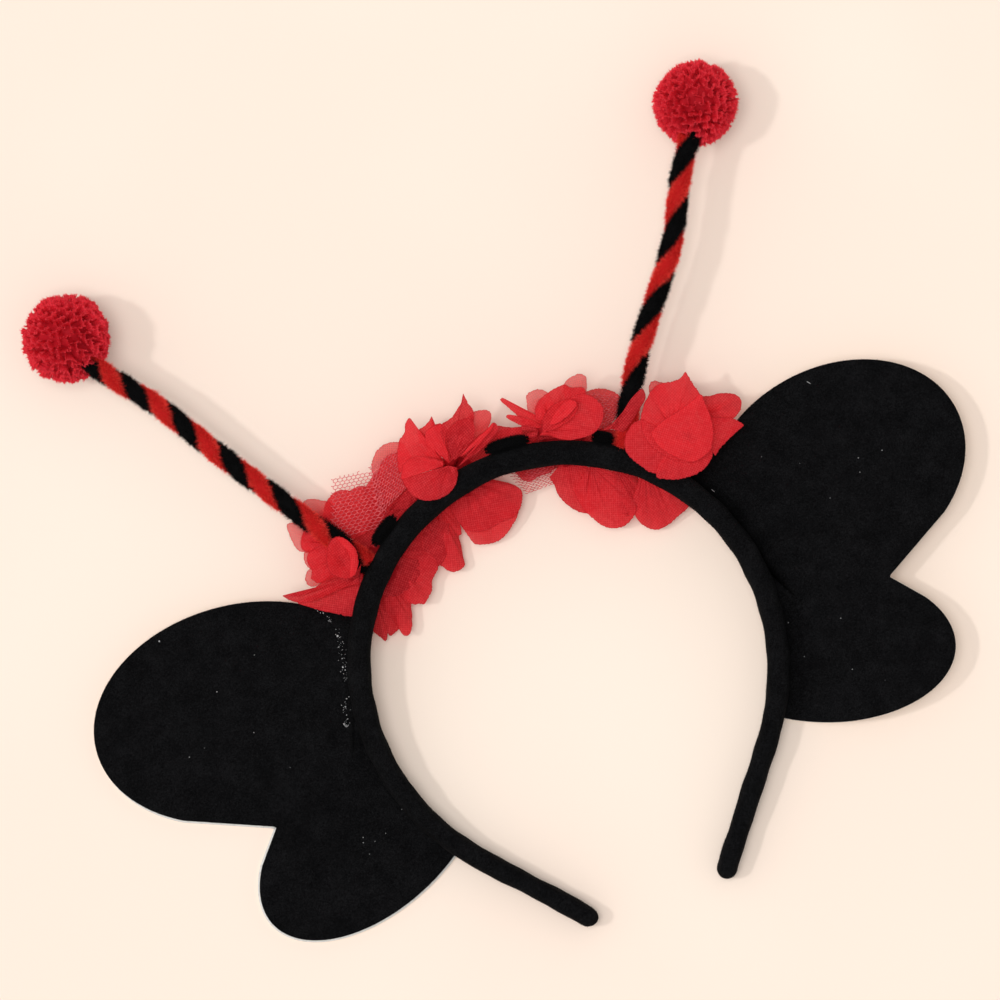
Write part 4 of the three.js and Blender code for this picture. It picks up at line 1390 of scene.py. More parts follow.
@dataclass
class NetScrap:
    """A scrap of tulle: hexagons of thin thread over a four-cornered patch."""

    name: str
    corners: Sequence[tuple[float, float, float]]
    node: str | None = None
    cell: float = 1.85
    flatten: float = 0.8
    thread: float = 0.25
    wave: float = 0.7
    bulge: float = 1.0
    ragged: float = 0.35
    seed: int = 41

    def surface(self, st: Array) -> Array:
        """Places on the patch from two shares."""
        a, b, c, d = (np.array(corner) for corner in self.corners)
        s, t = st[:, :1], st[:, 1:]
        flat = a * (1 - s) * (1 - t) + b * s * (1 - t) + c * s * t + d * (1 - s) * t
        waves = self.wave * wander(flat * [1, 1, 0], 5, self.seed)[:, None]
        flat[:, 2:] += self.bulge * 16 * s * (1 - s) * t * (1 - t) + waves
        return flat

    def build(self) -> None:
        """Makes the net's threads as slim prisms."""
        rng = np.random.default_rng(self.seed)
        a, b, _, d = (np.array(corner) for corner in self.corners)
        width, height = float(np.linalg.norm(b - a)), float(np.linalg.norm(d - a))
        side = self.cell / math.sqrt(3)
        squash = np.array([1, self.flatten])
        starts, ends = [], []
        for j in range(-1, int(height / (side * 1.5 * self.flatten)) + 2):
            for i in range(-1, int(width / self.cell) + 2):
                centre = np.array([self.cell * (i + 0.5 * (j % 2)), 1.5 * side * j])
                for k in (0, 1, 2):
                    p, q = (direction(60 * (k + m) + 30) * side for m in (0, 1))
                    starts.append(centre + p)
                    ends.append(centre + q)
        starts, ends = np.array(starts) * squash, np.array(ends) * squash
        size = np.array([width, height])
        jag = self.ragged * rng.normal(size=(len(starts), 2))
        inside = ((starts + jag > 0) & (starts + jag < size) & (ends > 0) & (ends < size)).all(axis=1)
        p, q = (self.surface(x[inside] / size) for x in (starts, ends))
        ahead = unit(q - p)
        one = unit(np.cross(ahead, [0.1, 0.2, 1.0]))
        two = np.cross(ahead, one)
        ring = around(one, two, np.radians([90, 210, 330])) * self.thread / 2
        points = np.concatenate([p[:, None] + ring, q[:, None] + ring], axis=1)
        sides = [[0, 1, 4], [0, 4, 3], [1, 2, 5], [1, 5, 4], [2, 0, 3], [2, 3, 5]]
        prism = np.array([*sides, [0, 2, 1], [3, 4, 5]])
        faces = (prism[None] + np.arange(len(p))[:, None, None] * 6).reshape(-1, 3)
        maker = MeshMaker()
        maker.add(points, faces)
        material = shared("tulle_thread", NetFinish("tulle_thread").material)
        nodes = [self.node] if self.node else []
        piece = settle(maker.finish(self.name, smooth=False), material, nodes)
        corners = maker.points[0][maker.faces[0]]
        crossed = np.cross(corners[:, 1] - corners[:, 0], corners[:, 2] - corners[:, 0])
        threads = np.linalg.norm(crossed, axis=1).sum() / 4
        share = min(1.0, max(0.31, threads / (width * height)))
        share * width * height * MM * MM


@dataclass
class Tail:
    """A short end of black chenille along the band's outer face."""

    node: str
    start: float
    end: float
    diameter: float = 5.2
    fibres: int = 6500
    seed: int = 51

    def build(self) -> None:
        """Makes the tail."""
        rng = np.random.default_rng(self.seed)
        angles = np.linspace(self.start, self.end, 14)
        out = self.diameter / 2 - 1.1
        plan = np.array([HOOP.on_crown(a, out) for a in angles])
        line = np.column_stack([plan, HOOP.rise(plan[:, 1]) + HOOP.height * 0.72])
        t = np.linspace(-1, 1, len(line))
        radius = self.diameter / 2 * np.sqrt(1.02 - t**4 * 0.8)
        ahead, up, aside = cross_directions(line)
        way = around(up, aside, np.linspace(0, 2 * math.pi, 12, endpoint=False))
        maker = MeshMaker("tone", "tip")
        # The core takes the pile's root colour: a dark body that paints shade inside the tail.
        maker.tube(line[:, None] + way * (radius * 0.75)[:, None, None], tone=0.1, tip=0.0)
        row = rng.integers(0, len(line), self.fibres)
        turn = rng.uniform(0, 2 * math.pi, (self.fibres, 1))
        away = up[row] * np.cos(turn) + aside[row] * np.sin(turn)
        slide = ahead[row] * rng.normal(0, 0.25, (self.fibres, 1))
        reach = radius[row, None] * rng.normal(1.0, 0.08, (self.fibres, 1))
        roots = line[row] + away * radius[row, None] * 0.5 + slide
        maker.fibres(roots, line[row] + away * reach + slide * 2, 0.16, rng)
        piece = maker.finish(f"{self.node}_pile", smooth=False)
        settle(piece, shared("black_pile", BLACK_PILE.material), [self.node])


@dataclass
class Debris:
    """Strings and drops of hot glue, specks of lint and bits of wire that lie on the headband."""

    strings: Sequence[Sequence[tuple[float, float]]]
    trails: Sequence[Sequence[tuple[float, float]]]
    drops: Sequence[tuple[float, float, float]]
    wires: Sequence[Sequence[tuple[float, float]]]
    dust: int = 6
    plan_drop: float = 10.0
    seed: int = 61

    @staticmethod
    def _over(plan: Array, levels: Sequence[Wing]) -> Array:
        """Heights just over the wing that lies under a plan of points, or over the floor."""
        out = np.abs(plan[:, 0])
        wing = levels[0] if plan[:, 0].mean() < 0 else levels[1]
        return wing.top(out, plan[:, 1])

    def _specks(
        self, maker: MeshMaker, plan: Any, levels: Sequence[Wing], rng: np.random.Generator
    ) -> None:
        """Adds a trail of small drops beside a line."""
        given = np.array(plan, float)
        line = smooth_curve(given, int(np.linalg.norm(given[-1] - given[0]) * 3.2))
        for x, y in line + rng.normal(0, 0.7, line.shape):
            self._drop(maker, x, y, rng.uniform(0.06, 0.2) * rng.uniform(0.5, 1), levels)

    def _thread(self, maker: MeshMaker, plan: Any, radius: float, levels: Sequence[Wing]) -> None:
        """Adds one thread over a wing."""
        given = np.array(plan, float) - [0, self.plan_drop]
        flat = smooth_curve(given, max(10, int(np.linalg.norm(given[-1] - given[0]) / 0.6)))
        line = np.column_stack([flat, self._over(flat, levels) + radius * 0.8])
        line[:, 2] += 0.4 * np.sin(np.linspace(0, math.pi, len(line)))
        ahead = unit(np.gradient(line, axis=0))
        aside = unit(np.cross(ahead, [0, 0, 1.0]))
        up = np.cross(aside, ahead)
        way = around(up, aside, np.linspace(0, 2 * math.pi, 6, endpoint=False))
        thick = radius * (1 + 0.4 * wander(line, 3, self.seed))[:, None, None]
        maker.tube(line[:, None] + way * thick)

    def _drop(self, maker: MeshMaker, x: float, y: float, size: float, levels: Sequence[Wing]) -> None:
        """Adds one round drop over a wing."""
        polar = np.linspace(0.05, math.pi - 0.05, 9)[:, None]
        around = np.linspace(0, 2 * math.pi, 14, endpoint=False)
        plan = np.array([[x, y - self.plan_drop]])
        middle = np.array([*plan[0], self._over(plan, levels)[0]])
        ball = np.broadcast_arrays(
            np.sin(polar) * np.cos(around), np.sin(polar) * np.sin(around), 0.5 * np.cos(polar)
        )
        maker.tube(middle + np.stack(ball, axis=-1) * size)

    def build(self, levels: Sequence[Wing]) -> None:
        """Makes the glue and the wire ends.

        Args:
            levels: the wings, left and right, that they lie on.
        """
        glue, wire = MeshMaker(), MeshMaker("tone", "tip")
        rng = np.random.default_rng(self.seed)
        for plan in self.strings:
            self._thread(glue, plan, 0.1, levels)
        for plan in self.trails:
            self._specks(glue, plan, levels, rng)
        for x, y, size in self.drops:
            self._drop(glue, x, y, size, levels)
        for wing in levels:
            for lobe in (wing.upper, wing.lower):
                for x, y in [lobe.near_middle(wing.reach, rng) for _ in range(self.dust)]:
                    size = rng.uniform(0.1, 0.17)
                    self._drop(glue, wing.side.value * x, y + self.plan_drop, size, levels)
        settle(glue.finish("glue_strings"), GlueFinish("set_glue").material())
        for plan in self.wires:
            self._thread(wire, plan, 0.2, levels)
        settle(wire.finish("loose_fibres"), shared("black_pile", BLACK_PILE.material))


@dataclass
class Studio:
    """The floor, the light and the camera, set as the headband was photographed."""

    view_width: float = 340.0
    distance: float = 4000.0
    roll: float = -20.0
    aim: tuple[float, float] = (-2.9, 59.5)
    sensor: float = 36.0
    light_height: float = 56.0
    key: float = 0.58
    fill: float = 0.26
    top: float = 1.2
    sky: float = 0.53

    def build(self) -> None:
        """Makes the floor, lights and camera."""
        scene = bpy.context.scene
        scene.view_settings.view_transform = "Standard"
        maker = MeshMaker()
        half = 1500.0
        maker.grid(np.array([[[-half, -half, 0], [half, -half, 0]], [[-half, half, 0], [half, half, 0]]]))
        floor = maker.finish("floor")
        floor.data.materials.append(FloorFinish("paper_floor").material())
        world = bpy.data.worlds.new("studio")
        scene.world = world
        world.use_nodes = True
        background = world.node_tree.nodes["Background"]
        background.inputs["Color"].default_value = (1.0, 0.985, 0.97, 1)
        background.inputs["Strength"].default_value = self.sky
        left = direction(180 + self.roll)
        self._sun("key", left, self.light_height, self.key, 4)
        self._sun("softbox", left, 50, self.fill, 60)
        self._sun("ceiling", left, 84, self.top, 26)
        camera = bpy.data.cameras.new("camera")
        camera.lens = self.sensor * self.distance / self.view_width
        camera.sensor_width = self.sensor
        camera.clip_end = 3 * self.distance * MM
        viewer = bpy.data.objects.new("camera", camera)
        scene.collection.objects.link(viewer)
        place = HOOP.set_down(np.array([*self.aim, 0.0]))
        viewer.location = (place[0], place[1], self.distance * MM)
        viewer.rotation_euler = (0, 0, math.radians(self.roll))
        scene.camera = viewer

    @staticmethod
    def _sun(name: str, towards: Array, height: float, strength: float, spread: float) -> None:
        """Adds a far soft light that stands in a flat direction at a height in degrees."""
        light = bpy.data.lights.new(name, "SUN")
        light.energy = strength
        light.angle = math.radians(spread)
        lamp = bpy.data.objects.new(name, light)
        bpy.context.scene.collection.objects.link(lamp)
        flat = math.cos(math.radians(height))
        way = Vector((towards[0] * flat, towards[1] * flat, math.sin(math.radians(height))))
        lamp.rotation_euler = way.to_track_quat("Z", "Y").to_euler()


def wings() -> list[Wing]:
    """Both wings."""
    left = Wing(
        side=Side.LEFT,
        upper=Lobe(0.4, 0.25, 0.6, 0.427, 5.2, 128, -56),
        lower=Lobe(0.085, -0.37, 0.533, 0.306, -22.8, 40, -110),
        notch=(0.43, -0.22),
        droop=6.0,
        level=None,
        overhang=(0.7, 0.0),
        root_top=41.0,
    )
    right = Wing(
        side=Side.RIGHT,
        upper=Lobe(0.376, 0.343, 0.534, 0.413, 8.6, 131, -56),
        lower=Lobe(0.106, -0.292, 0.507, 0.3, -19.5, 40, -112),
        notch=(0.43, -0.116),
        droop=0.0,
        level=13.0,
        overhang=(0.1, 0.0),
        root_top=46.5,
        seed=4,
    )
    return [left, right]


def antennae() -> list[Antenna]:
    """Both antennae with their pompoms."""
    left = Antenna(
        side=Side.LEFT,
        angle=133.8,
        heading=124.1,
        length=116.3,
        pitch=5.9,
        tighten=0.85,
        start=-0.4,
        sway=[(0.5, -0.002), (0.78, -0.012), (0.93, 0)],
        pompom=Pompom(Side.LEFT, 14.9, nudge=(1.5, 0.8), axis=(-0.62, -0.6, 0.38)),
    )
    right = Antenna(
        side=Side.RIGHT,
        angle=55.6,
        heading=58.0,
        length=108.7,
        pitch=7.0,
        tighten=0.42,
        start=-0.67,
        sway=[(0.28, 0.015), (0.65, -0.015), (0.86, 0.001)],
        pompom=Pompom(Side.RIGHT, 14.2, nudge=(-1, -0.6), axis=(0.85, 0.3, 0.42), seed=23),
        seed=8,
    )
    return [left, right]


def left_petals() -> list[Petal]:
    """Petals of the flower at the left wing, from the lowest to the highest."""
    return [
        Petal(
            (-54, 58), [(-60, 47), (-58.5, 42), (-57, 39.5), (-55.9, 37.8), (-54.9, 38.5), (-54.2, 39.9),
            (-53.8, 38.9), (-51.5, 39.4), (-50, 40.3), (-48, 47), (-46, 55)], (9, 5, 4, 5), tone=0.55,
            grain=60, creases=[(0.35, 0.6)],
        ),
        Petal(
            (-49, 60), [(-53, 49), (-50.3, 41), (-49.7, 38.4), (-48.7, 36.9), (-47.3, 37.2),
            (-45.7, 39.3), (-44.5, 42.4), (-43.4, 46.5), (-41, 54)], (9.5, 7, 5.5, 6), tone=0.45,
            grain=70, creases=[(0.6, 0.5)],
        ),
        Petal(
            (-44, 64), [(-48, 54), (-45, 48.5), (-43, 46.5), (-41, 45.8), (-39.2, 45.2), (-37.2, 46.5),
            (-35, 48.7), (-34, 51.3), (-32.2, 53.3), (-30.4, 55.3), (-30, 59), (-33, 65)],
            (10, 8, 6.5, 8), tone=0.4, grain=35, creases=[(0.45, 0.7), (0.7, 0.5)],
        ),
        Petal(
            (-47, 66), [(-54, 56), (-51, 52), (-46, 51), (-41, 52.5), (-37, 55.5), (-36, 60)],
            (10.8, 9.5, 8.5, 9), tone=0.8, grain=50,
        ),
        Petal(
            (-36, 78), [(-47, 76), (-46, 82), (-45, 88), (-42, 91), (-38, 93), (-34, 93), (-31, 90)],
            (11.5, 11, 11, 11.5), tone=0.35, grain=30,
        ),
        Petal(
            (-35, 68), [(-57, 67), (-55.4, 72.4), (-52, 76.4), (-47, 79), (-42, 82.4), (-37, 86.4),
            (-31, 87.4), (-25, 86)], (10.4, 10, 10.4, 10.4), tone=0.85, grain=30, arch=0.2, ruffle=0.2,
        ),
        Petal(
            (-54, 74), [(-62, 79), (-61.3, 84), (-59.5, 88), (-57, 90.1), (-54.5, 91.2), (-52, 91.1),
            (-49.5, 90), (-46.5, 90.3), (-44, 89.2), (-42.5, 86), (-43.5, 80), (-47, 75)],
            (11.5, 10.5, 10, 11), arch=0.8, tone=0.3, grain=40,
        ),
        Petal(
            (-60, 82), [(-68, 86), (-67, 89.5), (-66, 91.6), (-64.3, 92), (-62, 91.4), (-60, 90.2),
            (-57.8, 88.8), (-56, 85)], (11.5, 11, 11, 11), sheer=0.5, grain=110, tone=0.2,
        ),
        Petal(
            (-62, 74), [(-64, 84), (-68, 85.4), (-72, 86.5), (-73.7, 86.1), (-74, 83), (-73.8, 79.5),
            (-73.1, 77), (-71.3, 75.5), (-68, 74.3)], (14, 14, 13, 13), sheer=0.5, grain=80, tone=0.2,
        ),
        Petal(
            (-62, 70), [(-67, 77), (-70.5, 76.2), (-71.9, 74.5), (-72.2, 72), (-71.6, 70), (-70, 68.6)],
            (14.2, 14, 13.3, 13.5), sheer=0.45, grain=60, tone=0.2,
        ),
        Petal(
            (-62, 66), [(-68, 71), (-71, 69.9), (-72.8, 68.9), (-74.1, 67.1), (-74.1, 65.2), (-73, 63.8),
            (-70, 63.3), (-66, 63)], (14.4, 13.6, 13, 13), sheer=0.45, grain=120, tone=0.2,
        ),
        Petal(
            (-61.5, 75), [(-62.5, 85), (-66, 84.6), (-69, 82.6), (-71, 79.6), (-71.6, 77.2),
            (-70.6, 75.4), (-68, 74.2), (-64, 73)], (15.5, 15.5, 14.6, 15), arch=1.2, tone=0.25,
            grain=20, creases=[(0.45, 1.0)],
        ),
        Petal(
            (-60, 69), [(-62, 75.4), (-66, 75.8), (-69.8, 74.9), (-71.5, 72), (-71, 69), (-72, 66.3),
            (-70.6, 64.2), (-67, 63.4), (-62, 63)], (16.5, 17, 16, 16.5), arch=1.3, tone=0.3, grain=15,
            creases=[(0.5, 0.8)],
        ),
        Petal(
            (-55, 62), [(-57, 62.8), (-65, 62), (-74, 60.8), (-79.3, 60.4), (-76, 57.5), (-72, 54.6),
            (-68, 52.2), (-65, 50.2), (-62.3, 49.6), (-60, 51.8), (-57, 56.5)], (17.5, 17, 14.5, 16.5),
            arch=0.6, tone=0.5, grain=62, sheer=0.05,
        ),
        Petal(
            (-56.5, 61.5), [(-54.2, 65.5), (-56, 64), (-58.5, 62.8), (-62, 63.2), (-66, 63.9),
            (-70, 63.6), (-74, 62.4), (-77, 61.9), (-80, 62.8), (-83.2, 64.3), (-81.2, 61.8),
            (-79, 60.2), (-75, 59.1), (-70, 59), (-65, 59.6), (-60, 59.4), (-57.5, 58.8)],
            (19, 23, 20, 15.5, 18.5, 19), arch=-0.6, ruffle=0.2, tone=0.55, grain=10,
        ),
        Petal(
            (-60.5, 68), [(-59.6, 61.9), (-61.6, 62.5), (-64.2, 64.3), (-65.3, 66.6), (-65.2, 69.5),
            (-64.2, 72.4), (-62.4, 75.2), (-60.5, 76.6), (-59, 76.8), (-57.3, 75.9), (-55.6, 73.6),
            (-54.4, 70.6), (-54.7, 67), (-56, 64.3), (-57.6, 62.6), (-59.6, 61.9)],
            (22.4, 25.5, 26, 26.5, 26.5, 25.5), arch=0, ruffle=0.15, tone=0.35, grain=15, pleats=0.08,
        ),
        Petal(
            (-56.4, 69.4), [(-59.3, 76.6), (-58.2, 76.4), (-56.4, 74.9), (-55, 72.4), (-54.3, 70),
            (-54.7, 67), (-56, 64.3), (-57.6, 62.5), (-59.3, 62.1), (-58.6, 64.6), (-57.7, 67.3),
            (-57.5, 70), (-58.2, 73)], (27.6, 27.2, 27, 27, 25.6), arch=0.3, ruffle=0.1, tone=0.05,
            grain=65, sheer=0.15, pleats=0.05,
        ),
    ]


def crown_left_petals() -> list[Petal]:
    """Petals of the flower left of the crown's top, from the lowest to the highest."""
    return [
        Petal(
            (-30, 74), [(-47, 60), (-44, 58), (-40, 56.8), (-36, 55.2), (-32, 54.9), (-29, 56),
            (-25, 60), (-22, 68)], (10, 9, 6.5, 9), tone=0.7, grain=40, creases=[(0.4, 0.7)],
        ),
        Petal(
            (-24, 77), [(-33, 62), (-30, 56), (-28.9, 54.9), (-27.9, 53.2), (-26.5, 52.2), (-24.5, 51.7),
            (-22.8, 52.1), (-21.6, 53), (-21.2, 56), (-20.5, 59.5), (-20.2, 62.6), (-19.2, 63),
            (-18.4, 66), (-17, 71), (-15, 76)], (10.5, 7.5, 4.5, 7.5), tone=0.35, grain=75,
            creases=[(0.25, 0.7), (0.75, 0.6)],
        ),
        Petal(
            (-10, 80), [(-18.6, 67), (-17.3, 62), (-16.4, 59), (-15.6, 58.1), (-13, 57.1), (-10, 56.6),
            (-7, 56.9), (-3.5, 58.7), (-1.5, 60.3), (0.5, 62), (2.5, 65)], (10, 8, 4.5, 6.5), tone=0.15,
            grain=75, sheer=0.12,
        ),
        Petal(
            (-12, 80), [(-20, 73), (-18.4, 66.4), (-17, 63.6), (-14, 62), (-10, 61.5), (-5, 62.2),
            (0, 62.6), (3, 65), (4.6, 68), (5.1, 70), (4, 72), (1.8, 74), (-3, 77)],
            (11.2, 9.5, 6.6, 8.5), tone=0.35, grain=80, creases=[(0.3, 0.6), (0.75, 0.8)],
        ),
        Petal(
            (2, 80), [(-14, 85), (-10, 88.6), (-5, 90.4), (0, 91.4), (6, 91.6), (12, 90.4), (17, 88.6),
            (20, 84)], (11, 11, 11.4, 11.4), tone=0.75, grain=30, arch=0.2, ruffle=0.2,
        ),
        Petal(
            (-28, 87), [(-42, 86), (-41.2, 90), (-40.5, 93), (-40, 95), (-38.5, 97.5), (-36, 99.7),
            (-33, 100.6), (-30, 100.3), (-27.5, 99), (-26, 95)], (13, 12.4, 12.6, 13), sheer=0.4,
            tone=0.25, grain=70,
        ),
        Petal(
            (-28, 85), [(-42, 81), (-41, 88), (-38, 93.5), (-34, 96.5), (-30, 96.5), (-26, 94)],
            (14, 13, 13.5, 14), tone=0.3, grain=35,
        ),
        Petal(
            (-29, 85), [(-42.5, 77.4), (-40, 79), (-37, 78.4), (-34, 77.3), (-31, 77.6), (-28, 79.5)],
            (16, 15, 15, 15.5), tone=0.9, grain=15,
        ),
        Petal(
            (-14, 88), [(-22, 97), (-20.8, 101), (-18.2, 101.9), (-16.4, 102.8), (-14.9, 104.1),
            (-15.6, 102.4), (-16.2, 101.2), (-14, 100.9), (-12.4, 100.3), (-11, 96)], (19, 18, 18.5, 18),
            tone=0.3, grain=20, ruffle=0.3,
        ),
        Petal(
            (-16.3, 87.2), [(-32, 90), (-31, 94), (-29.3, 98), (-28, 100.2), (-26, 101.6),
            (-25.2, 102.4), (-24.5, 104.3), (-23.3, 105.6), (-22.1, 106), (-21.5, 104), (-20.6, 101.5),
            (-18.3, 96.5), (-16.6, 91)], (21, 19, 18, 18.5, 19.5), arch=1.4, tone=0.2, grain=12,
            ruffle=0.4, creases=[(0.75, 0.8)],
        ),
        Petal(
            (2, 89.5), [(-3, 91), (1, 93), (3.9, 94.9), (4.4, 94), (6, 92.8), (8, 91.8), (10, 91),
            (11.6, 90.4), (12.2, 88.8), (10.6, 86.4), (7, 87.6), (2, 88.2), (-3, 88)],
            (17.6, 18, 17.5, 17, 17.2), tone=0.45, grain=30, ruffle=0.3, arch=0.4,
        ),
        Petal(
            (-11, 89), [(-5, 99), (-2, 100.5), (1, 100.4), (3.2, 99.6), (4.3, 98), (3.5, 96),
            (1.6, 93.8), (-3, 91)], (20, 19.5, 18.5, 19), sheer=0.22, tone=0.25, grain=105, ruffle=0.4,
        ),
        Petal(
            (-14.6, 87), [(-14.2, 98), (-12.6, 100.3), (-9, 101.2), (-5.4, 103.8), (-3, 105.8),
            (-2.4, 107.6), (-1.9, 104.6), (-1.1, 100.6), (-2.4, 97), (-5, 93)], (22.5, 22, 20, 21.5),
            tone=0.6, grain=15, arch=0.5, ruffle=0.3, creases=[(0.3, 1.0)],
        ),
        Petal(
            (-14.8, 87), [(-20, 96.5), (-18.6, 99.8), (-16.5, 100.7), (-14, 100.6), (-12.2, 99.6),
            (-12.4, 96.5), (-13.6, 92)], (23, 21.5, 21, 22), tone=0.1, grain=15, arch=0.8, ruffle=0.2,
        ),
        Petal(
            (-12.8, 87.4), [(-14, 91.5), (-13.6, 94.5), (-11.5, 97.6), (-8.4, 99.4), (-4.8, 99.6),
            (-2.4, 98), (-2.6, 95), (-4.5, 91.6), (-8, 88.8)], (22.8, 24, 23, 23.2), tone=0.75, grain=20,
            arch=-1.0, ruffle=0.2,
        ),
        Petal(
            (-8, 87.6), [(-12.4, 84.9), (-9, 85.9), (-5, 87), (-1, 88.7), (2.4, 90.4), (4.9, 92.6),
            (4.1, 94.9), (1.4, 93.7), (-2.5, 92.4), (-6.5, 90.6), (-10.4, 88)], (23.4, 24.6, 24, 23, 25),
            tone=0.65, grain=22, arch=-0.5, ruffle=0.15, pleats=0.1,
        ),
        Petal(
            (-4, 89.8), [(-10.8, 87.6), (-7, 90), (-3, 91.9), (1, 93.3), (4, 94.8), (2.4, 92.6),
            (-1, 90.6), (-5, 88.4), (-9, 86.8)], (25, 25.4, 25, 24.2, 25.2), tone=0.05, grain=22,
            arch=0.3, ruffle=0.1, pleats=0.05,
        ),
        Petal(
            (-15.4, 86.4), [(-31.8, 87.6), (-31.6, 85), (-30.8, 82.4), (-29.4, 80), (-27.4, 78.3),
            (-24.5, 77.2), (-21, 76.9), (-18, 77.6), (-15.8, 79), (-14.2, 80.9), (-13.2, 82.8),
            (-12.8, 84.8)], (25.6, 24.4, 24.2, 24.4, 25), arch=0.9, tone=0.45, grain=12, ruffle=0.4,
            creases=[(0.3, 0.6), (0.55, 0.7), (0.8, 0.5)],
        ),
        Petal(
            (-17, 86.8), [(-31.9, 87.4), (-31, 90), (-29, 92.3), (-25, 93), (-20, 91), (-16.6, 88.6)],
            (26, 25, 23.5, 25.4), arch=1.0, tone=0.12, grain=10, ruffle=0.2,
        ),
    ]


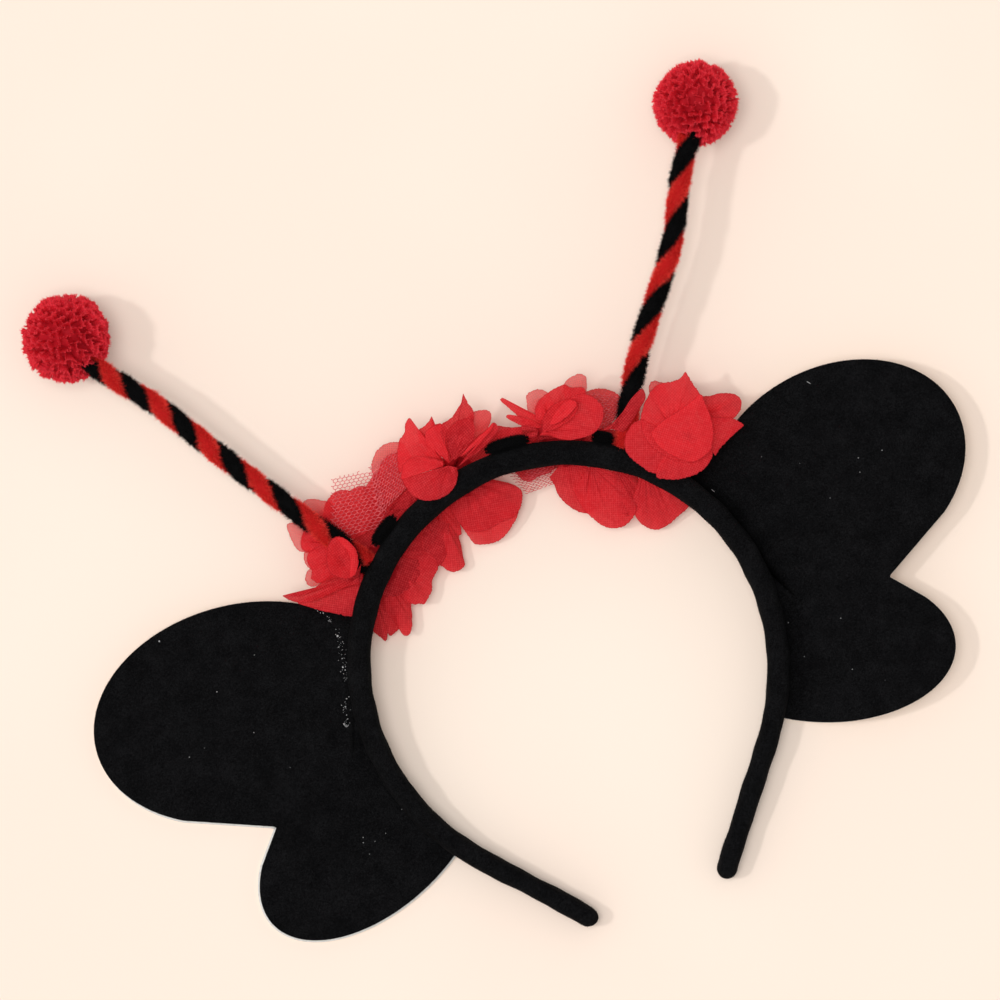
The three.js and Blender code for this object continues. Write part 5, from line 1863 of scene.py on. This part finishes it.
def crown_right_petals() -> list[Petal]:
    """Petals of the flower right of the crown's top, from the lowest to the highest."""
    return [
        Petal(
            (48, 66), [(38, 52), (38.8, 47), (40, 44.7), (42, 42.7), (44.6, 41.6), (47.4, 41.9),
            (50.4, 42.9), (53, 44), (55.6, 44.9), (57.6, 46.4), (56, 52)], (9.8, 7.5, 4.5, 7), tone=0.3,
            grain=35, creases=[(0.6, 0.5)],
        ),
        Petal(
            (38, 68), [(33, 51), (37, 49.4), (41, 50.4), (43.6, 53), (44.6, 56), (43.8, 59.5), (44, 64)],
            (10.4, 8, 6.6, 8.5), tone=0.45, grain=65, sheer=0.15,
        ),
        Petal(
            (37, 68), [(33, 52), (36, 50.4), (39.6, 51.6), (41.6, 54), (42.3, 57), (41.5, 61), (42, 66)],
            (10.6, 8.6, 7.4, 9), tone=0.35, grain=55, sheer=0.1,
        ),
        Petal(
            (24, 76), [(15.5, 71), (16.2, 68), (16.1, 65), (17.1, 62), (18.6, 59.2), (20.4, 57),
            (22.2, 55.7), (24.5, 55), (29, 58), (32, 66)], (10.2, 8.5, 6.4, 8), tone=0.4, grain=60,
        ),
        Petal(
            (30, 70), [(21.5, 64), (22, 59), (23.3, 55.2), (24.7, 52.6), (26.3, 50), (28.6, 48),
            (31, 47), (33.6, 46.8), (36, 47.6), (38.2, 49.1), (39.8, 51.2), (40.6, 54), (41, 58),
            (40, 63)], (11, 8.8, 7, 8.8), arch=1.2, tone=0.25, grain=72, creases=[(0.2, 0.5)],
        ),
        Petal(
            (31, 70), [(14, 85.6), (19, 86), (24, 85), (29, 83.6), (35, 81.8), (41, 79), (46, 76),
            (48, 70)], (11, 11, 11.4, 11.4), tone=0.8, grain=30, arch=0.2, ruffle=0.2,
        ),
        Petal(
            (14, 77), [(5, 77), (6.5, 73.5), (8.6, 71.8), (12, 72.5), (16, 72.4), (19, 73.4),
            (22.6, 74)], (9, 6, 5.5, 6.5), tone=0.75, grain=20, ruffle=0.8, waves=3,
        ),
        Petal(
            (20, 87.4), [(10.8, 87.4), (11, 84.6), (14, 83.9), (18, 83.6), (22, 82.6)],
            (16, 15.5, 15.5, 16), tone=0.55, grain=15,
        ),
        Petal(
            (20, 89), [(16, 94), (16.9, 97.6), (17.6, 99.7), (19.6, 100.5), (22, 100.3), (24, 99.1),
            (25.3, 97), (25, 93)], (17, 15.5, 15.5, 16), sheer=0.45, tone=0.2, grain=100,
        ),
        Petal(
            (29, 90), [(29.8, 97), (30.7, 98.8), (32.2, 99.9), (34.6, 100.5), (37, 100.4), (38.6, 99),
            (38.2, 96.5), (37, 93.5), (36, 91)], (18.5, 17, 17, 17.5), sheer=0.45, tone=0.2, grain=85,
        ),
        Petal(
            (35, 86), [(36, 93.6), (39, 94), (42, 93.4), (45, 91.6), (47.2, 89.2), (47.9, 86.8),
            (46.2, 84.4), (43.4, 82.4), (40, 79.8), (37.5, 79)], (15, 13, 12, 12.8), tone=0.35, grain=45,
            sheer=0.2, ruffle=0.7, waves=3,
        ),
        Petal(
            (22, 88.4), [(16.2, 94.2), (12.2, 98.4), (9.6, 101.8), (8.8, 101.4), (10.6, 97.6),
            (12.4, 94.2), (13.4, 90.4), (16, 88.2)], (20, 19, 16.5, 18.5), tone=0.3, grain=40,
            ruffle=0.15, arch=0.5,
        ),
        Petal(
            (20, 87.8), [(14.8, 92.6), (11.6, 94.7), (9, 95.8), (8.6, 95.2), (11, 92.2), (13.2, 90),
            (15.6, 88)], (21, 20, 18.4, 20), tone=0.35, grain=30, ruffle=0.1, arch=0.3,
        ),
        Petal(
            (17.4, 87), [(10.2, 90), (13, 90.5), (15.6, 89.5), (17.2, 87.6), (15.6, 85.4), (12, 87.2)],
            (21.6, 20.6, 20.8, 20.8), tone=0.95, grain=60, ruffle=0.2, arch=-0.3,
        ),
        Petal(
            (22, 89), [(17.6, 91), (18.8, 94.6), (21.5, 97), (24.5, 98), (27.5, 98.6), (30.8, 98.8),
            (33, 97), (36.6, 95.6), (36.6, 92)], (21, 20.5, 20, 20.5), tone=0.25, grain=35, arch=1.4,
            creases=[(0.35, 0.8), (0.7, 0.6)],
        ),
        Petal(
            (19, 86.6), [(17, 85.4), (20.4, 84), (23, 82), (26, 80.5), (30, 79.8), (34, 79.8),
            (37.2, 81.2), (39.6, 84), (40.5, 87), (39.5, 90), (37.6, 92.6), (34, 94), (29, 93.5)],
            (24.4, 24.4, 24.3, 23.4, 24.5), arch=1.0, tone=0.3, grain=62, ruffle=0.35,
            creases=[(0.5, 0.4)],
        ),
        Petal(
            (25, 89.2), [(18.4, 86), (19.2, 88.6), (21.6, 91.8), (25, 93.6), (28.6, 94), (31.6, 93.2),
            (33, 91.2), (32, 89), (29.4, 87.1), (26, 86), (22, 85.6), (18.4, 86)],
            (25, 25.8, 26.6, 26.8, 26, 25.8), arch=-0.2, tone=0.5, grain=25, ruffle=0.1, pleats=0.05,
        ),
        Petal(
            (27.6, 90.4), [(21.4, 87.6), (23.6, 90), (26.4, 92), (29.4, 93.2), (31.8, 92.8),
            (32.6, 91.2), (30.6, 89.4), (27.4, 88), (24, 87.2), (21.4, 87.6)],
            (27, 26.8, 27.4, 27.4, 26.8), arch=0.15, tone=0.02, grain=25, ruffle=0.1, pleats=0.03,
        ),
        Petal(
            (41, 79), [(37.6, 79.9), (42, 81.2), (46, 83.2), (50, 86.2), (53, 87.8), (55.2, 88.4),
            (55.3, 85.4), (54, 83.8), (51.8, 82.2), (49.5, 80.2), (47, 78.4), (44, 76.8)],
            (22.4, 22.2, 23, 22.4, 22.6), tone=0.8, grain=30, arch=0.8, ruffle=0.2, creases=[(0.3, 0.5)],
        ),
    ]


def right_petals() -> list[Petal]:
    """Petals of the flower at the right wing, from the lowest to the highest."""
    return [
        Petal(
            (60, 80), [(56.4, 83), (56.9, 86), (57.6, 88.2), (58.8, 89.6), (60.3, 89.4), (62.4, 87.8),
            (63, 84)], (19, 18, 17.5, 18), sheer=0.35, tone=0.25, grain=80,
        ),
        Petal(
            (70, 73), [(71, 79.6), (74, 78.9), (76.5, 78.3), (79.4, 78), (82.2, 77), (84.6, 75.4),
            (85.3, 73.6), (84.6, 71), (82, 68.9), (78, 68), (73, 69)], (20.5, 20, 18.4, 19.5), tone=0.4,
            grain=30, arch=1.0, creases=[(0.5, 0.6)],
        ),
        Petal(
            (68, 68), [(72, 72), (75, 71), (78, 69.6), (81, 68.2), (82.5, 66.4), (83.3, 65.1),
            (80.5, 63.9), (77, 62.4), (73, 60.4), (70.6, 58.6)], (22.6, 22.4, 20, 22), tone=0.2,
            grain=50, arch=1.0,
        ),
        Petal(
            (60, 72), [(50.4, 78), (52.2, 80.7), (54, 83.5), (56, 85.2), (58, 86.9), (61, 88),
            (64, 87.5), (67.5, 87.2), (69.5, 87.9), (70.8, 88.8), (71.4, 86.5), (72, 83.5), (72.9, 80.5),
            (73.4, 76)], (24, 22.6, 20.5, 22.4), tone=0.15, grain=28, arch=1.2, creases=[(0.28, 0.4)],
        ),
        Petal(
            (60, 70), [(52, 78.6), (48.6, 78.6), (45.2, 76.3), (43.2, 73.3), (42.7, 70.5), (43.5, 67.8),
            (45.4, 64.5), (47.8, 61.2), (50, 59.8), (54, 60)], (23.6, 23.4, 23.2, 23.4), tone=0.3,
            grain=70, arch=0.7, ruffle=0.3,
        ),
        Petal(
            (61, 68), [(51, 62), (49.5, 58.7), (52, 57), (55, 55.8), (59, 55.1), (63, 55.1), (66, 56),
            (68.6, 57.8), (70, 59.3), (70.2, 61), (70, 65)], (24, 23.6, 23.4, 23.8), tone=0.25, grain=45,
            arch=0.7, ruffle=0.35,
        ),
        Petal(
            (58, 72), [(51, 78.8), (50.2, 75.5), (50.4, 72), (51.4, 69), (53, 66.4), (55, 63.8),
            (57.6, 61.4), (60.4, 59.8), (63, 58.9)], (25.3, 24.4, 24.7, 24.6), tone=0.35, grain=60,
            arch=0.3, ruffle=0.15,
        ),
        Petal(
            (63.5, 67.5), [(52.8, 73.6), (56, 75.2), (60, 76.4), (65, 77.5), (70, 79), (73, 80),
            (73.4, 76), (73.6, 71), (72.6, 66), (71.2, 63.2), (70, 61.2), (66.5, 59.6), (63, 59.2),
            (60.3, 60.6), (57.2, 63.2), (54.6, 66.5), (53, 70), (52.8, 73.6)],
            (27.2, 26.2, 25.6, 25.2, 26, 26.6, 26.4), arch=0.2, tone=0.1, grain=52, ruffle=0.2,
            pleats=0.05,
        ),
    ]


def flowers() -> list[Flower]:
    """The four flowers, from the left wing to the right one."""
    return [
        Flower("flower_left", 138, (0.3, 0.1), (-0.15, 0.1), left_petals(), seed=100),
        Flower("flower_crown_left", 101, (0, -0.1), (0, 0.2), crown_left_petals(), seed=130),
        Flower("flower_crown_right", 73, (0.1, -0.1), (-0.15, 0.25), crown_right_petals(), seed=160),
        Flower("flower_right", 46, (0.05, 0), (0.4, 0.25), right_petals(), seed=190),
    ]


def scraps() -> list[NetScrap]:
    """The scraps of tulle between the flowers."""
    return [
        NetScrap(
            name="tulle_left_net",
            corners=[(-62, 66, 12.6), (-41, 64, 13.4), (-39, 84, 14.6), (-54, 86.5, 12.2)],
            node="tulle_left",
            cell=2.1, flatten=0.62, wave=0.25, bulge=0.3,
        ),
        NetScrap(
            name="tulle_left_fold_net",
            corners=[(-44, 68, 15.2), (-31, 74, 15.4), (-28, 88, 14.8), (-41, 86, 14.2)],
            cell=1.5, flatten=0.8, wave=0.25, bulge=0.4, seed=42,
        ),
        NetScrap(
            name="tulle_centre_net",
            corners=[(6, 58.2, 6), (17, 58.2, 6.5), (22, 68, 8), (2, 68.6, 8)],
            node="tulle_centre",
            cell=1.5, flatten=0.5, wave=1.0, bulge=1.0, seed=43,
        ),
        NetScrap(
            name="tulle_right_net",
            corners=[(36, 70, 14.2), (46, 72, 14), (48.5, 78.5, 13.6), (38, 84, 14)],
            node="tulle_right",
            cell=1.5, flatten=0.8, wave=0.5, bulge=0.8, seed=44,
        ),
    ]


def tails() -> list[Tail]:
    """The ends of the antennae's chenille behind the band."""
    return [
        Tail("stem_tail_left", 128.4, 120.4),
        Tail("stem_tail_centre", 91, 80.5, seed=52),
        Tail("stem_tail_right", 63.5, 59, seed=53),
    ]


def debris() -> Debris:
    """What the making left on the headband."""
    return Debris(
        strings=[
            [(-78.8, 16.4), (-78.2, 15), (-77.2, 15.4)],
            [(65.2, 49), (66.2, 47.6), (66.8, 46.4)],
            [(108.6, 71.6), (109.4, 70.6)],
        ],
        trails=[
            [(-73.5, 56), (-72.6, 55), (-71.6, 52.6), (-70.9, 49.8)],
            [(-70.3, 47), (-70.3, 43), (-71.5, 36), (-73.4, 30)],
            [(-75, 24), (-76.6, 20), (-78, 15)],
        ],
        drops=[(-128, 64, 0.3), (-70.4, 45, 0.35), (-72.4, 34.4, 0.25), (-76.2, 21.5, 0.25)],
        wires=[[(-101, 60), (-99.4, 61), (-98.2, 60.6)], [(98, 58), (99.2, 56.8), (100.6, 57)]],
    )


def main() -> None:
    """Builds every sub-assembly in order."""
    logging.basicConfig(level=logging.INFO, format="%(message)s")
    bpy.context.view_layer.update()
    Studio().build()
    Band().build()
    both = wings()
    for part in [*both, *antennae(), *flowers(), *scraps(), *tails()]:
        part.build()
    debris().build(both)


if __name__ == "__main__":
    main()
